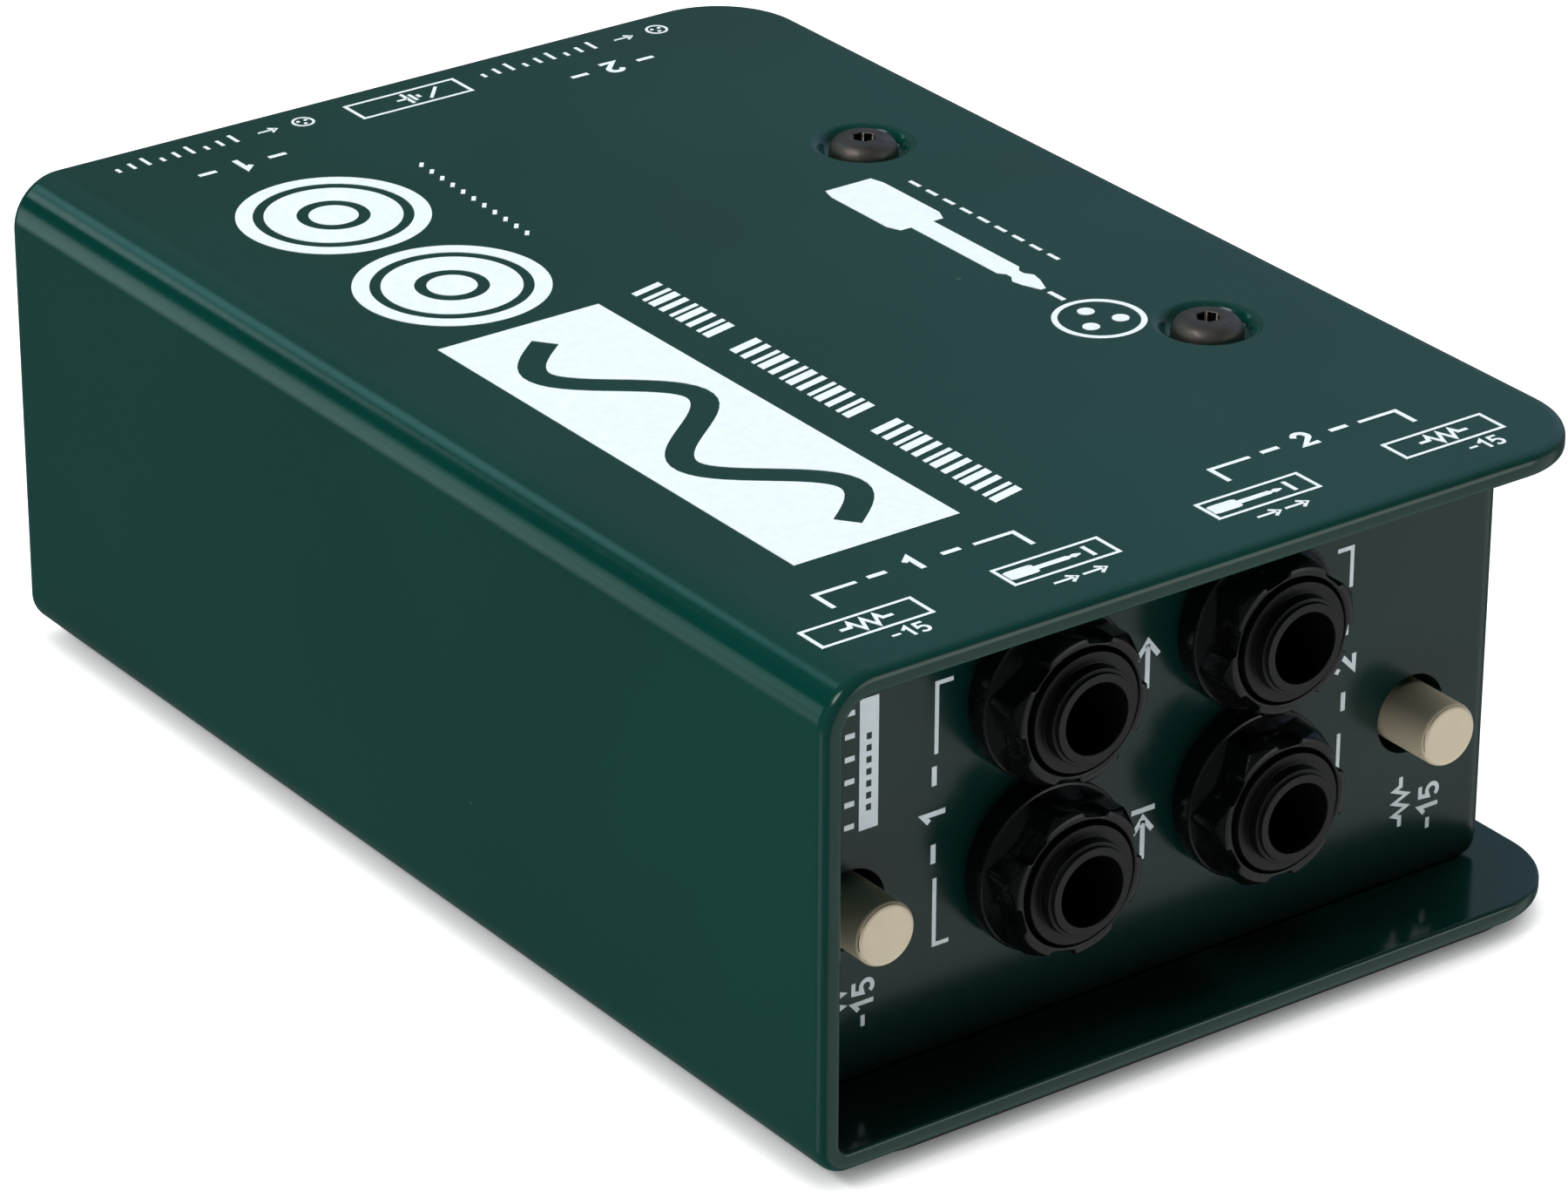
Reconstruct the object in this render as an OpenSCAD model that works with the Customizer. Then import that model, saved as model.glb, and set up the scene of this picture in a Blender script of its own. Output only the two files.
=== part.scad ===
// Stereo passive direct injection box: a bent steel shell that overhangs a
// recessed inner chassis, with four 6.35 mm jacks and two pad buttons in
// front, and two 3-pin output connectors and a ground-lift button behind.
// Millimetres. +Z is up, the input panel faces -Y, and the origin is at the
// bottom centre of the box, on the surface that it stands on.

/* [Outer shell] */
// Length of the shell, front edge to rear edge
shell_length = 127; // [127:1:150]
// Width of the shell, closed left wall to open right edge
shell_width = 83; // [83:1:95]
// Height of the steel shell, without the pad under it
shell_height = 45.5; // [45.5:0.5:52]
// Thickness of the shell's sheet, with its powder coat
shell_sheet = 2; // [1.5:0.1:2]
// Inside radius of the bend between the left wall and the bottom plate
bend_inner_r = 1; // [0.5:0.1:2]
// Inside radius of the bend between the left wall and the top plate
top_bend_inner_r = 3; // [2:0.1:3.5]
// Plan radius of the plates' two right corners
plate_corner_r = 9; // [4:0.5:12]
// Thickness of the non-slip pad
pad_sheet = 1.5; // [1.2:0.1:3]

/* [Inner chassis] */
// Thickness of the chassis sheet
chassis_sheet = 1.5; // [1:0.1:1.6]
// How far the front and rear panels sit behind the shell's edges
panel_recess = 9.2; // [8.5:0.1:12]
// How far the right wall sits inside the plates' right edge
side_recess = 2.7; // [2:0.1:5]
// Width of the top and bottom screw flanges
flange_width = 18; // [16:0.5:22]

/* [Input jacks] */
// Distance between the left pair and the right pair
jack_spacing = 22.3; // [20:0.1:26]
// Distance between the upper and the lower jack of a pair
jack_pitch = 16.2; // [16:0.1:17]
// Diameter of the plug bore
jack_bore_d = 6.5; // [6.4:0.02:6.6]
// How far the nose stands out of the panel
jack_nose = 8; // [7:0.1:9]

/* [Push-buttons] */
// Distance between the two pad buttons
button_spacing = 61; // [58:0.1:64]
// Diameter of a button cap
cap_d = 5.9; // [5:0.1:6.5]
// Diameter of the hole that a cap passes through
button_hole_d = 7.5; // [7.5:0.1:8.5]
// How far a cap stands out of the panel at rest
cap_reach = 5.3; // [4:0.1:6]
// Travel of a button
button_travel = 2.5; // [1.5:0.1:3]

/* [Outputs] */
// Distance between the two output connectors
xlr_spacing = 44; // [44:0.5:45]
// Diameter of the cable connector that an output socket takes
xlr_socket_d = 19; // [18.8:0.05:19.2]

/* [Screws] */
// Head diameter of the shell screws
screw_head_d = 6.4; // [6:0.1:6.8]
// Distance between the two screws of a plate
screw_pitch = 51; // [48:0.5:54]

/* [Hidden] */
$fn = 48;

eps = 0.01;
gap = 0.15;

// Shell limits
shell_left = -shell_width / 2;
shell_right = shell_width / 2;
shell_front = -shell_length / 2;
shell_base = pad_sheet;
shell_top = shell_base + shell_height;
bend_outer_r = bend_inner_r + shell_sheet;
top_bend_outer_r = top_bend_inner_r + shell_sheet;

// Chassis limits, outer faces
chassis_left = shell_left + shell_sheet + 0.5;
chassis_right = shell_right - side_recess;
panel_y = shell_length / 2 - panel_recess;
chassis_base = shell_base + shell_sheet + gap;
chassis_top = shell_top - shell_sheet - gap;
chassis_mid_z = (chassis_base + chassis_top) / 2;
panel_bend_r = 2.3;
flange_bend_r = 3.4;
panel_lower_r = bend_inner_r + 0.2;
panel_upper_r = top_bend_inner_r + 0.2;
return_flange = 8;
bend_relief = 1.6;
panel_inner = panel_y - chassis_sheet;
flange_left = chassis_right - flange_width;

// The fittings share one centre line, a little left of the box's own
fittings_x = -1.4;
jack_mid_z = shell_base + 25.5;
jack_upper_z = jack_mid_z + jack_pitch / 2;
jack_lower_z = jack_mid_z - jack_pitch / 2;
jack_left_x = fittings_x - jack_spacing / 2;
jack_right_x = fittings_x + jack_spacing / 2;
pad_left_x = fittings_x - button_spacing / 2;
pad_right_x = fittings_x + button_spacing / 2;
pad_button_z = jack_mid_z - 7.2;

// Jack
thread_d = 10.9;
thread_reach = jack_nose - 1.4;
collar_d = 8.8;
collar_step = 0.35;
housing_w = 15;
housing_h = jack_pitch - 1.6;
housing_depth = 25.5;
chamber_w = 9.4;
chamber_h = 10;
chamber_wall = 1.5;
washer_d = 14.6;
washer_sheet = 0.9;
nut_flange_d = 15.5;
nut_flange_sheet = 1.75;
nut_face = 6.3;
nut_face_d = 13.4;
nut_flats = 13;
nut_notch_w = 2.4;
nut_notch_depth = 0.4;
nut_notch_length = 1.7;
contact_sheet = 0.4;
contact_depths = [6, 14, 21];
lug_x = housing_w / 2 + 1.1;
lug_w = 0.9;

// Boards
board_sheet = 1.6;
input_board_z = jack_mid_z - board_sheet / 2;
input_board_left = -37.4;
input_board_right = 35.4;
input_board_front = -panel_inner + 0.5;
input_board_rear = -18.5;
output_board_z = 9.5;
output_board_top = output_board_z + board_sheet;
output_board_left = -36;
output_board_right = 35.6;
output_board_front = -17;
output_board_rear = panel_inner - 2.2;
pin_w = 0.8;
pin_hole_d = 1.3;
lug_hole_d = 1.5;
solder_tail = 1.4;

// Switch
switch_w = 9.6;
switch_front = 9.5;
switch_length = 18;
switch_foot = 1.6;
stem_d = 3.4;
stem_bore_d = 3.56;
stem_bore_depth = 14;
stem_insertion = 10;
cap_length = cap_reach + 3;
cap_socket = 2.8;
cap_socket_depth = 4;
terminal_pitch = 2.54;
spring_wire_d = 0.4;
spring_d = 4.6;
spring_turns = 5;
spring_steps = 16;
lift_button_z = output_board_top + switch_foot + switch_w / 2;

// Output connectors
xlr_z = chassis_mid_z;
xlr_left_x = fittings_x - xlr_spacing / 2;
xlr_right_x = fittings_x + xlr_spacing / 2;
xlr_flange_w = 26;
xlr_flange_h = 31;
xlr_flange_sheet = 2;
xlr_tube_d = 23.6;
xlr_depth = 17;
xlr_insert_sheet = 6;
xlr_hole_d = 24;
xlr_screw_x = 9.5;
xlr_screw_z = 12;
xlr_pin_d = 2.4;
xlr_pin_circle_r = 4.9;
xlr_pin_angles = [190, 350, 270];
xlr_leg_d = 1.2;

// Screws
screw_x = 28.2;
screw_mid_y = -0.6;
screw_head_h = 1.9;
screw_seat_depth = 0.9;
screw_dimple_d = 9.3;
screw_hole_d = 3.9;
screw_shank_d = 3.45;
screw_length = 6.6;
screw_socket_d = 2.3;
clinch_d = 7;
clinch_h = 2;
clinch_bore_d = 3.5;
pad_screw_hole_d = 11;

// Transformers
can_w = 24;
can_length = 32;
can_h = 27;
can_sheet = 0.8;
can_mid_y = 8;
core_w = 21;
core_h = 18;
core_length = 14;
core_window_w = 4;
core_window_h = 11;
coil_gap = 0.3;
coil_over = 4.5;

// ---- frames ----

// Draws its children on the front panel: X right, Y up, Z out to the front
module on_front(x, z) {
    translate([x, -panel_y, z]) rotate([90, 0, 0]) children();
}

// Draws its children on the rear panel: X left, Y up, Z out to the rear
module on_rear(x, z) {
    translate([x, panel_y, z]) rotate([90, 0, 180]) children();
}

// Puts its children at the two screw places of a plate
module at_plate_screws() {
    for (side = [-1, 1])
        translate([screw_x, screw_mid_y + side * screw_pitch / 2, 0]) children();
}

// Mirrors a top-plate feature to the bottom plate
module to_bottom() {
    translate([0, 0, 2 * (shell_base + shell_height / 2)]) mirror([0, 0, 1]) children();
}

// Rectangle from the origin with all four corners round
module round_rect(w, h, r) {
    translate([r, 0]) square([w - 2 * r, h]);
    translate([0, r]) square([w, h - 2 * r]);
    for (x = [r, w - r], y = [r, h - r])
        translate([x, y]) circle(r);
}

// Rectangle from the origin with its two right corners round
module right_round_rect(w, h, r) {
    square([w - r, h]);
    translate([0, r]) square([w, h - 2 * r]);
    for (y = [r, h - r])
        translate([w - r, y]) circle(r);
}

// Rectangle from the origin with its two left corners round, each its own way
module left_round_rect(w, h, lower_r, upper_r) {
    translate([max(lower_r, upper_r), 0]) square([w - max(lower_r, upper_r), h]);
    translate([lower_r, 0]) square([w - lower_r, h - upper_r]);
    translate([0, lower_r]) square([w, h - lower_r - upper_r]);
    translate([lower_r, lower_r]) circle(lower_r);
    translate([upper_r, h - upper_r]) circle(upper_r);
}

// ---- shell and chassis ----

module shell_section() {
    difference() {
        left_round_rect(shell_width, shell_height, bend_outer_r, top_bend_outer_r);
        translate([shell_sheet, shell_sheet])
            left_round_rect(shell_width, shell_height - 2 * shell_sheet, bend_inner_r, top_bend_inner_r);
    }
}

module screw_seat() {
    cone_bottom_d = screw_head_d + 0.5;
    translate([0, 0, shell_top - screw_seat_depth])
        cylinder(d1 = cone_bottom_d, d2 = screw_dimple_d, h = screw_seat_depth + eps);
    translate([0, 0, shell_top - shell_sheet - 1])
        cylinder(d = screw_hole_d, h = shell_sheet + 1);
}

module outer_shell() {
    color([0.11, 0.22, 0.2])
    difference() {
        intersection() {
            translate([shell_left, shell_length / 2, shell_base])
                rotate([90, 0, 0]) linear_extrude(shell_length) shell_section();
            translate([shell_left, shell_front, 0])
                linear_extrude(shell_top + 1)
                    right_round_rect(shell_width, shell_length, plate_corner_r);
        }
        at_plate_screws() screw_seat();
        to_bottom() at_plate_screws() screw_seat();
    }
}

// Side view of the chassis: two bends on the right, the panels' round corners on the left
module chassis_outline(w, h, r) {
    intersection() {
        right_round_rect(w, h, r);
        left_round_rect(w, h, panel_lower_r, panel_upper_r);
    }
}

// Block with the chassis's bends, from a left face and drawn in by an inset
module chassis_block(left, inset) {
    w = chassis_right - left - inset;
    h = chassis_top - chassis_base - 2 * inset;
    intersection() {
        translate([left, -panel_y + inset, 0])
            linear_extrude(shell_top)
                right_round_rect(w, 2 * (panel_y - inset), panel_bend_r - inset);
        translate([left, panel_y, chassis_base + inset])
            rotate([90, 0, 0]) linear_extrude(2 * panel_y)
                chassis_outline(w, h, flange_bend_r - inset);
    }
}

module chassis_openings() {
    h = chassis_top - chassis_base;
    cut_w = flange_left - chassis_left;
    // Open top and bottom, from the left side to the flanges
    translate([chassis_left - 1, -panel_inner, chassis_base - 1])
        cube([cut_w + 1, 2 * panel_inner, h + 2]);
    // Bend reliefs where the flanges would meet the panels
    for (y = [-panel_inner, panel_inner - bend_relief])
        translate([flange_left - 1, y, chassis_base - 1])
            cube([flange_width - flange_bend_r, bend_relief, h + 2]);
    for (x = [jack_left_x, jack_right_x], z = [jack_lower_z, jack_upper_z])
        on_front(x, z) cylinder(d = thread_d + 0.3, h = 6, center = true);
    for (x = [pad_left_x, pad_right_x])
        on_front(x, pad_button_z) cylinder(d = button_hole_d, h = 6, center = true);
    on_rear(fittings_x, lift_button_z) cylinder(d = button_hole_d, h = 6, center = true);
    for (x = [xlr_left_x, xlr_right_x])
        on_rear(x, xlr_z) {
            cylinder(d = xlr_hole_d, h = 6, center = true);
            for (side = [-1, 1])
                translate([side * xlr_screw_x, side * xlr_screw_z, 0])
                    cylinder(d = 3, h = 6, center = true);
        }
    at_plate_screws()
        cylinder(d = screw_hole_d, h = shell_top);
}

module inner_chassis() {
    h = chassis_top - chassis_base;
    color([0.13, 0.21, 0.2])
    union() {
        difference() {
            chassis_block(chassis_left, 0);
            chassis_block(chassis_left - 1, chassis_sheet);
            chassis_openings();
        }
        for (y = [-panel_inner, panel_inner - return_flange])
            translate([chassis_left, y, chassis_base + panel_lower_r])
                cube([chassis_sheet, return_flange, h - panel_lower_r - panel_upper_r]);
    }
}

module non_slip_pad() {
    margin = 2;
    left_margin = 4;
    color([0.16, 0.13, 0.12])
    difference() {
        translate([shell_left + left_margin, shell_front + margin, 0])
            linear_extrude(pad_sheet)
                round_rect(shell_width - left_margin - margin,
                           shell_length - 2 * margin, plate_corner_r - margin);
        at_plate_screws()
            cylinder(d = pad_screw_hole_d, h = 3 * pad_sheet, center = true);
    }
}

// ---- fasteners ----

// Button-head screw whose head sits on z = 0 and points up
module shell_screw() {
    crown_r = screw_head_d * 0.28;
    rim_h = 0.45;
    difference() {
        union() {
            rotate_extrude()
                polygon(concat(
                    [[0, 0], [screw_head_d / 2, 0], [screw_head_d / 2, rim_h]],
                    [for (i = [1 : 6])
                        let (a = i * 15)
                        [crown_r + (screw_head_d / 2 - crown_r) * cos(a),
                         rim_h + (screw_head_h - rim_h) * sin(a)]],
                    [[0, screw_head_h]]));
            translate([0, 0, -screw_length])
                cylinder(d = screw_shank_d, h = screw_length + eps);
        }
        translate([0, 0, screw_head_h - 1.1])
            cylinder(d = screw_socket_d, h = 2, $fn = 6);
    }
}

module top_screws() {
    color([0.3, 0.27, 0.25])
        at_plate_screws()
            translate([0, 0, shell_top - screw_seat_depth]) shell_screw();
}

module bottom_screws() {
    color([0.3, 0.27, 0.25])
        to_bottom() at_plate_screws()
            translate([0, 0, shell_top - screw_seat_depth]) shell_screw();
}

module clinch_nut() {
    translate([0, 0, chassis_top - chassis_sheet - clinch_h])
        difference() {
            cylinder(d = clinch_d, h = clinch_h);
            cylinder(d = clinch_bore_d, h = 3 * clinch_h, center = true);
        }
}

module clinch_nuts() {
    color([0.7, 0.7, 0.68]) {
        at_plate_screws() clinch_nut();
        to_bottom() at_plate_screws() clinch_nut();
    }
}

// M3 pan head, its head on z = 0
module pan_screw(length, shank_d) {
    difference() {
        union() {
            cylinder(d = 5.5, h = 1);
            translate([0, 0, 1]) cylinder(d1 = 5.5, d2 = 4, h = 0.8);
            translate([0, 0, -length]) cylinder(d = shank_d, h = length + eps);
        }
        for (turn = [0, 90])
            rotate([0, 0, turn]) translate([-1.6, -0.3, 0.9]) cube([3.2, 0.6, 2]);
    }
}

// ---- input jacks ----

// Jack body in the front panel's frame; side is 1 above the board, -1 below
module jack_body(side) {
    back = chassis_sheet + housing_depth;
    chamber_front = chassis_sheet + 2;
    slot_w = 2.9;
    color([0.06, 0.06, 0.06])
    difference() {
        union() {
            translate([0, 0, -chassis_sheet]) cylinder(d = thread_d, h = thread_reach + chassis_sheet);
            cylinder(d = collar_d, h = jack_nose - collar_step);
            cylinder(d = collar_d - 2 * collar_step, h = jack_nose);
            translate([-housing_w / 2, -housing_h / 2, -back])
                cube([housing_w, housing_h, housing_depth]);
        }
        translate([0, 0, -back + chamber_wall])
            cylinder(d = jack_bore_d, h = back + jack_nose);
        translate([-chamber_w / 2, -chamber_h / 2, -back + chamber_wall])
            cube([chamber_w, chamber_h, back - chamber_wall - chamber_front]);
        // Slots where the contact lugs leave the housing
        for (depth = contact_depths)
            translate([side > 0 ? -housing_w : 0, -side * 2 - 0.5, -depth - slot_w / 2])
                cube([housing_w, 1, slot_w]);
    }
}

// Spring contacts of one jack, with their lugs down or up to the board
module jack_contacts(side) {
    lug_side = -side;
    leaf_x = jack_bore_d / 2 + 0.15;
    leaf_h = 3;
    tab_w = 2.4;
    lug_end = housing_h / 2 + board_sheet + solder_tail;
    color([0.8, 0.76, 0.62])
    for (depth = contact_depths)
        translate([0, 0, -depth]) {
            translate([lug_side * (leaf_x + contact_sheet / 2), -side * 1, 0])
                cube([contact_sheet, leaf_h, tab_w + 2], center = true);
            translate([lug_side * (leaf_x + lug_x) / 2, -side * 2, 0])
                cube([lug_x - leaf_x, contact_sheet, tab_w], center = true);
            translate([lug_side * lug_x, -side * (2 + lug_end) / 2, 0])
                cube([lug_w, lug_end - 2 + contact_sheet, lug_w], center = true);
        }
}

// Flanged hex nut with a notch in each flat; turn is where it stopped
module jack_nut(turn) {
    corner_d = nut_flats / cos(30);
    hex_h = nut_face - washer_sheet - nut_flange_sheet;
    chamfer = 1;
    color([0.05, 0.05, 0.05])
    translate([0, 0, washer_sheet])
    difference() {
        union() {
            cylinder(d = nut_flange_d, h = nut_flange_sheet - 0.4);
            translate([0, 0, nut_flange_sheet - 0.4])
                cylinder(d1 = nut_flange_d, d2 = nut_flange_d - 0.8, h = 0.4);
            intersection() {
                rotate([0, 0, turn + 30])
                    cylinder(d = corner_d, h = nut_flange_sheet + hex_h, $fn = 6);
                union() {
                    cylinder(d = corner_d + 1, h = nut_flange_sheet + hex_h - chamfer);
                    translate([0, 0, nut_flange_sheet + hex_h - chamfer])
                        cylinder(d1 = nut_face_d + 2 * chamfer, d2 = nut_face_d, h = chamfer);
                }
            }
        }
        cylinder(d = thread_d + 0.1, h = 20, center = true);
        translate([0, 0, nut_flange_sheet + hex_h - 0.8])
            cylinder(d1 = thread_d + 0.1, d2 = thread_d + 0.7, h = 0.8 + eps);
        for (i = [0 : 5])
            rotate([0, 0, turn + i * 60])
                translate([nut_flats / 2 - nut_notch_depth, -nut_notch_w / 2,
                           nut_flange_sheet + hex_h - nut_notch_length])
                    cube([3, nut_notch_w, nut_notch_length + eps]);
    }
}

module input_jack_left() { on_front(jack_left_x, jack_lower_z) jack_body(-1); }
module input_jack_right() { on_front(jack_right_x, jack_lower_z) jack_body(-1); }
module thru_jack_left() { on_front(jack_left_x, jack_upper_z) jack_body(1); }
module thru_jack_right() { on_front(jack_right_x, jack_upper_z) jack_body(1); }

module input_nut_left() { on_front(jack_left_x, jack_lower_z) jack_nut(16); }
module input_nut_right() { on_front(jack_right_x, jack_lower_z) jack_nut(28.6); }
module thru_nut_left() { on_front(jack_left_x, jack_upper_z) jack_nut(17); }
module thru_nut_right() { on_front(jack_right_x, jack_upper_z) jack_nut(47); }

module input_contacts_left() { on_front(jack_left_x, jack_lower_z) jack_contacts(-1); }
module input_contacts_right() { on_front(jack_right_x, jack_lower_z) jack_contacts(-1); }
module thru_contacts_left() { on_front(jack_left_x, jack_upper_z) jack_contacts(1); }
module thru_contacts_right() { on_front(jack_right_x, jack_upper_z) jack_contacts(1); }

module jack_washers() {
    color([0.08, 0.08, 0.08])
    for (x = [jack_left_x, jack_right_x], z = [jack_lower_z, jack_upper_z])
        on_front(x, z)
            difference() {
                cylinder(d = washer_d, h = washer_sheet);
                cylinder(d = thread_d + 0.1, h = 3 * washer_sheet, center = true);
            }
}

// ---- push-button switches ----

// Switch body in a panel's frame; side is -1 if its board is above it
module switch_body(side) {
    color([0.12, 0.12, 0.13])
    difference() {
        union() {
            translate([-switch_w / 2, -switch_w / 2, -switch_front - switch_length])
                cube([switch_w, switch_w, switch_length]);
            // Two feet that stand it off its board
            for (z = [-switch_front - 3, -switch_front - switch_length + 1])
                translate([-switch_w / 2, side > 0 ? -switch_w / 2 - switch_foot : switch_w / 2, z])
                    cube([switch_w, switch_foot, 2]);
        }
        translate([0, 0, -switch_front - stem_bore_depth])
            cylinder(d = stem_bore_d, h = stem_bore_depth + 1);
    }
}

// Two rows of three terminals from a switch into its board
module terminals(side) {
    length = switch_foot + board_sheet + solder_tail;
    for (x = [-terminal_pitch, terminal_pitch], i = [-1, 0, 1])
        translate([x, -side * (switch_w / 2 + length / 2),
                   -switch_front - switch_length / 2 + i * 2 * terminal_pitch])
            cube([pin_w, length, pin_w], center = true);
}

module switch_cap() {
    edge = 0.3;
    color([0.75, 0.7, 0.6])
    difference() {
        union() {
            translate([0, 0, cap_reach - cap_length]) cylinder(d = cap_d, h = cap_length - edge);
            translate([0, 0, cap_reach - edge])
                cylinder(d1 = cap_d, d2 = cap_d - 2 * edge, h = edge);
        }
        translate([0, 0, cap_reach - cap_length + cap_socket_depth / 2 - eps])
            cube([cap_socket, cap_socket, cap_socket_depth], center = true);
    }
}

module switch_plunger() {
    cap_back = cap_reach - cap_length;
    stem = switch_front + cap_back + stem_insertion;
    tip = cap_socket - 0.06;
    color([0.85, 0.84, 0.8]) {
        translate([0, 0, cap_back - stem]) cylinder(d = stem_d, h = stem);
        translate([0, 0, cap_back + (cap_socket_depth - 0.3) / 2 - eps])
            cube([tip, tip, cap_socket_depth - 0.3], center = true);
    }
}

// Ring of points round the wire at step i of the helix
function spring_ring(i, length) =
    let (angle = i * 360 / spring_steps,
         steps = spring_turns * spring_steps,
         rise = spring_wire_d / 2 + (length - spring_wire_d) * i / steps)
    [for (k = [0 : 5])
        let (r = spring_d / 2 + spring_wire_d / 2 * cos(k * 60))
        [r * cos(angle), r * sin(angle), rise + spring_wire_d / 2 * sin(k * 60)]];

module coil_spring(length) {
    steps = spring_turns * spring_steps;
    points = [for (i = [0 : steps]) each spring_ring(i, length)];
    sides = [for (i = [0 : steps - 1], k = [0 : 5])
        [i * 6 + k, i * 6 + (k + 1) % 6, (i + 1) * 6 + (k + 1) % 6, (i + 1) * 6 + k]];
    first = [for (k = [5 : -1 : 0]) k];
    last = [for (k = [0 : 5]) steps * 6 + k];
    polyhedron(points, concat(sides, [first, last]));
}

module switch_spring() {
    length = switch_front + cap_reach - cap_length - 2 * gap;
    color([0.7, 0.7, 0.7])
        translate([0, 0, -switch_front + gap]) coil_spring(length);
}

module pad_switch_left() { on_front(pad_left_x, pad_button_z) switch_body(-1); }
module pad_switch_right() { on_front(pad_right_x, pad_button_z) switch_body(-1); }
module lift_switch() { on_rear(fittings_x, lift_button_z) switch_body(1); }

module switch_terminals() {
    color([0.8, 0.78, 0.7]) {
        on_front(pad_left_x, pad_button_z) terminals(-1);
        on_front(pad_right_x, pad_button_z) terminals(-1);
        on_rear(fittings_x, lift_button_z) terminals(1);
    }
}

module pad_cap_left() { on_front(pad_left_x, pad_button_z) switch_cap(); }
module pad_cap_right() { on_front(pad_right_x, pad_button_z) switch_cap(); }
module lift_cap() { on_rear(fittings_x, lift_button_z) switch_cap(); }

module pad_plunger_left() { on_front(pad_left_x, pad_button_z) switch_plunger(); }
module pad_plunger_right() { on_front(pad_right_x, pad_button_z) switch_plunger(); }
module lift_plunger() { on_rear(fittings_x, lift_button_z) switch_plunger(); }

module pad_spring_left() { on_front(pad_left_x, pad_button_z) switch_spring(); }
module pad_spring_right() { on_front(pad_right_x, pad_button_z) switch_spring(); }
module lift_spring() { on_rear(fittings_x, lift_button_z) switch_spring(); }

// ---- boards ----

module input_board() {
    color([0.1, 0.3, 0.16])
    difference() {
        translate([input_board_left, input_board_front, input_board_z])
            cube([input_board_right - input_board_left,
                  input_board_rear - input_board_front, board_sheet]);
        for (x = [jack_left_x, jack_right_x], lug = [-lug_x, lug_x], depth = contact_depths)
            translate([x + lug, -panel_y + depth, input_board_z - 1])
                cylinder(d = lug_hole_d, h = board_sheet + 2);
        for (x = [pad_left_x, pad_right_x], row = [-terminal_pitch, terminal_pitch], i = [-1, 0, 1])
            translate([x + row, -panel_y + switch_front + switch_length / 2 + i * 2 * terminal_pitch,
                       input_board_z - 1])
                cylinder(d = pin_hole_d, h = board_sheet + 2);
    }
}

standoff_places = [[31.5, -14.2], [31.5, 30.5]];
standoff_d = 5;
standoff_bore_d = 3;

module output_board() {
    color([0.1, 0.3, 0.16])
    difference() {
        translate([output_board_left, output_board_front, output_board_z])
            cube([output_board_right - output_board_left,
                  output_board_rear - output_board_front, board_sheet]);
        for (place = standoff_places)
            translate([place[0], place[1], output_board_z - 1])
                cylinder(d = 3.4, h = board_sheet + 2);
        for (row = [-terminal_pitch, terminal_pitch], i = [-1, 0, 1])
            translate([fittings_x + row,
                       panel_y - switch_front - switch_length / 2 + i * 2 * terminal_pitch,
                       output_board_z - 1])
                cylinder(d = pin_hole_d, h = board_sheet + 2);
        for (x = [xlr_left_x, xlr_right_x], angle = xlr_pin_angles)
            translate([x - xlr_pin_circle_r * cos(angle), panel_y - xlr_leg_depth(angle),
                       output_board_z - 1])
                cylinder(d = xlr_leg_d + 0.5, h = board_sheet + 2);
    }
}

module board_standoffs() {
    base = chassis_base + chassis_sheet;
    color([0.75, 0.72, 0.6])
    for (place = standoff_places)
        translate([place[0], place[1], base])
            difference() {
                cylinder(d = standoff_d / cos(30), h = output_board_z - base, $fn = 6);
                cylinder(d = standoff_bore_d, h = 20, center = true);
            }
}

module board_screws() {
    color([0.72, 0.72, 0.7])
    for (place = standoff_places)
        translate([place[0], place[1], output_board_top]) pan_screw(5, 2.94);
}

resistor_body_d = 2.4;
resistor_body_l = 6.4;
resistor_lead_d = 0.6;
resistor_span = 9;

// Axial resistor lying along Y on z = 0
module resistor() {
    axis_z = resistor_body_d / 2 + 0.3;
    translate([0, 0, axis_z]) rotate([90, 0, 0]) {
        cylinder(d = resistor_body_d, h = resistor_body_l, center = true);
        cylinder(d = resistor_lead_d, h = resistor_span, center = true);
    }
    for (side = [-1, 1])
        translate([0, side * resistor_span / 2, 0]) cylinder(d = resistor_lead_d, h = axis_z);
}

module pad_resistors() {
    color([0.3, 0.5, 0.65])
    for (x = [pad_left_x, pad_right_x], column = [-3.6, 0, 3.6])
        translate([x + column, input_board_front + 6, input_board_z + board_sheet]) resistor();
}

module filter_capacitors() {
    color([0.75, 0.2, 0.15])
    for (side = [-1, 1])
        translate([fittings_x + side * 4.6, 8, output_board_top + 5])
            cube([3.5, 12, 10], center = true);
}

header_w = 14;
header_length = 4;
header_h = 5;
header_input_y = -22;
header_output_y = -13;

module board_headers() {
    color([0.08, 0.08, 0.08]) {
        translate([fittings_x - header_w / 2, header_input_y - header_length / 2,
                   input_board_z - header_h])
            cube([header_w, header_length, header_h]);
        translate([fittings_x - header_w / 2, header_output_y - header_length / 2,
                   output_board_top])
            cube([header_w, header_length, header_h]);
    }
}

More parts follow.
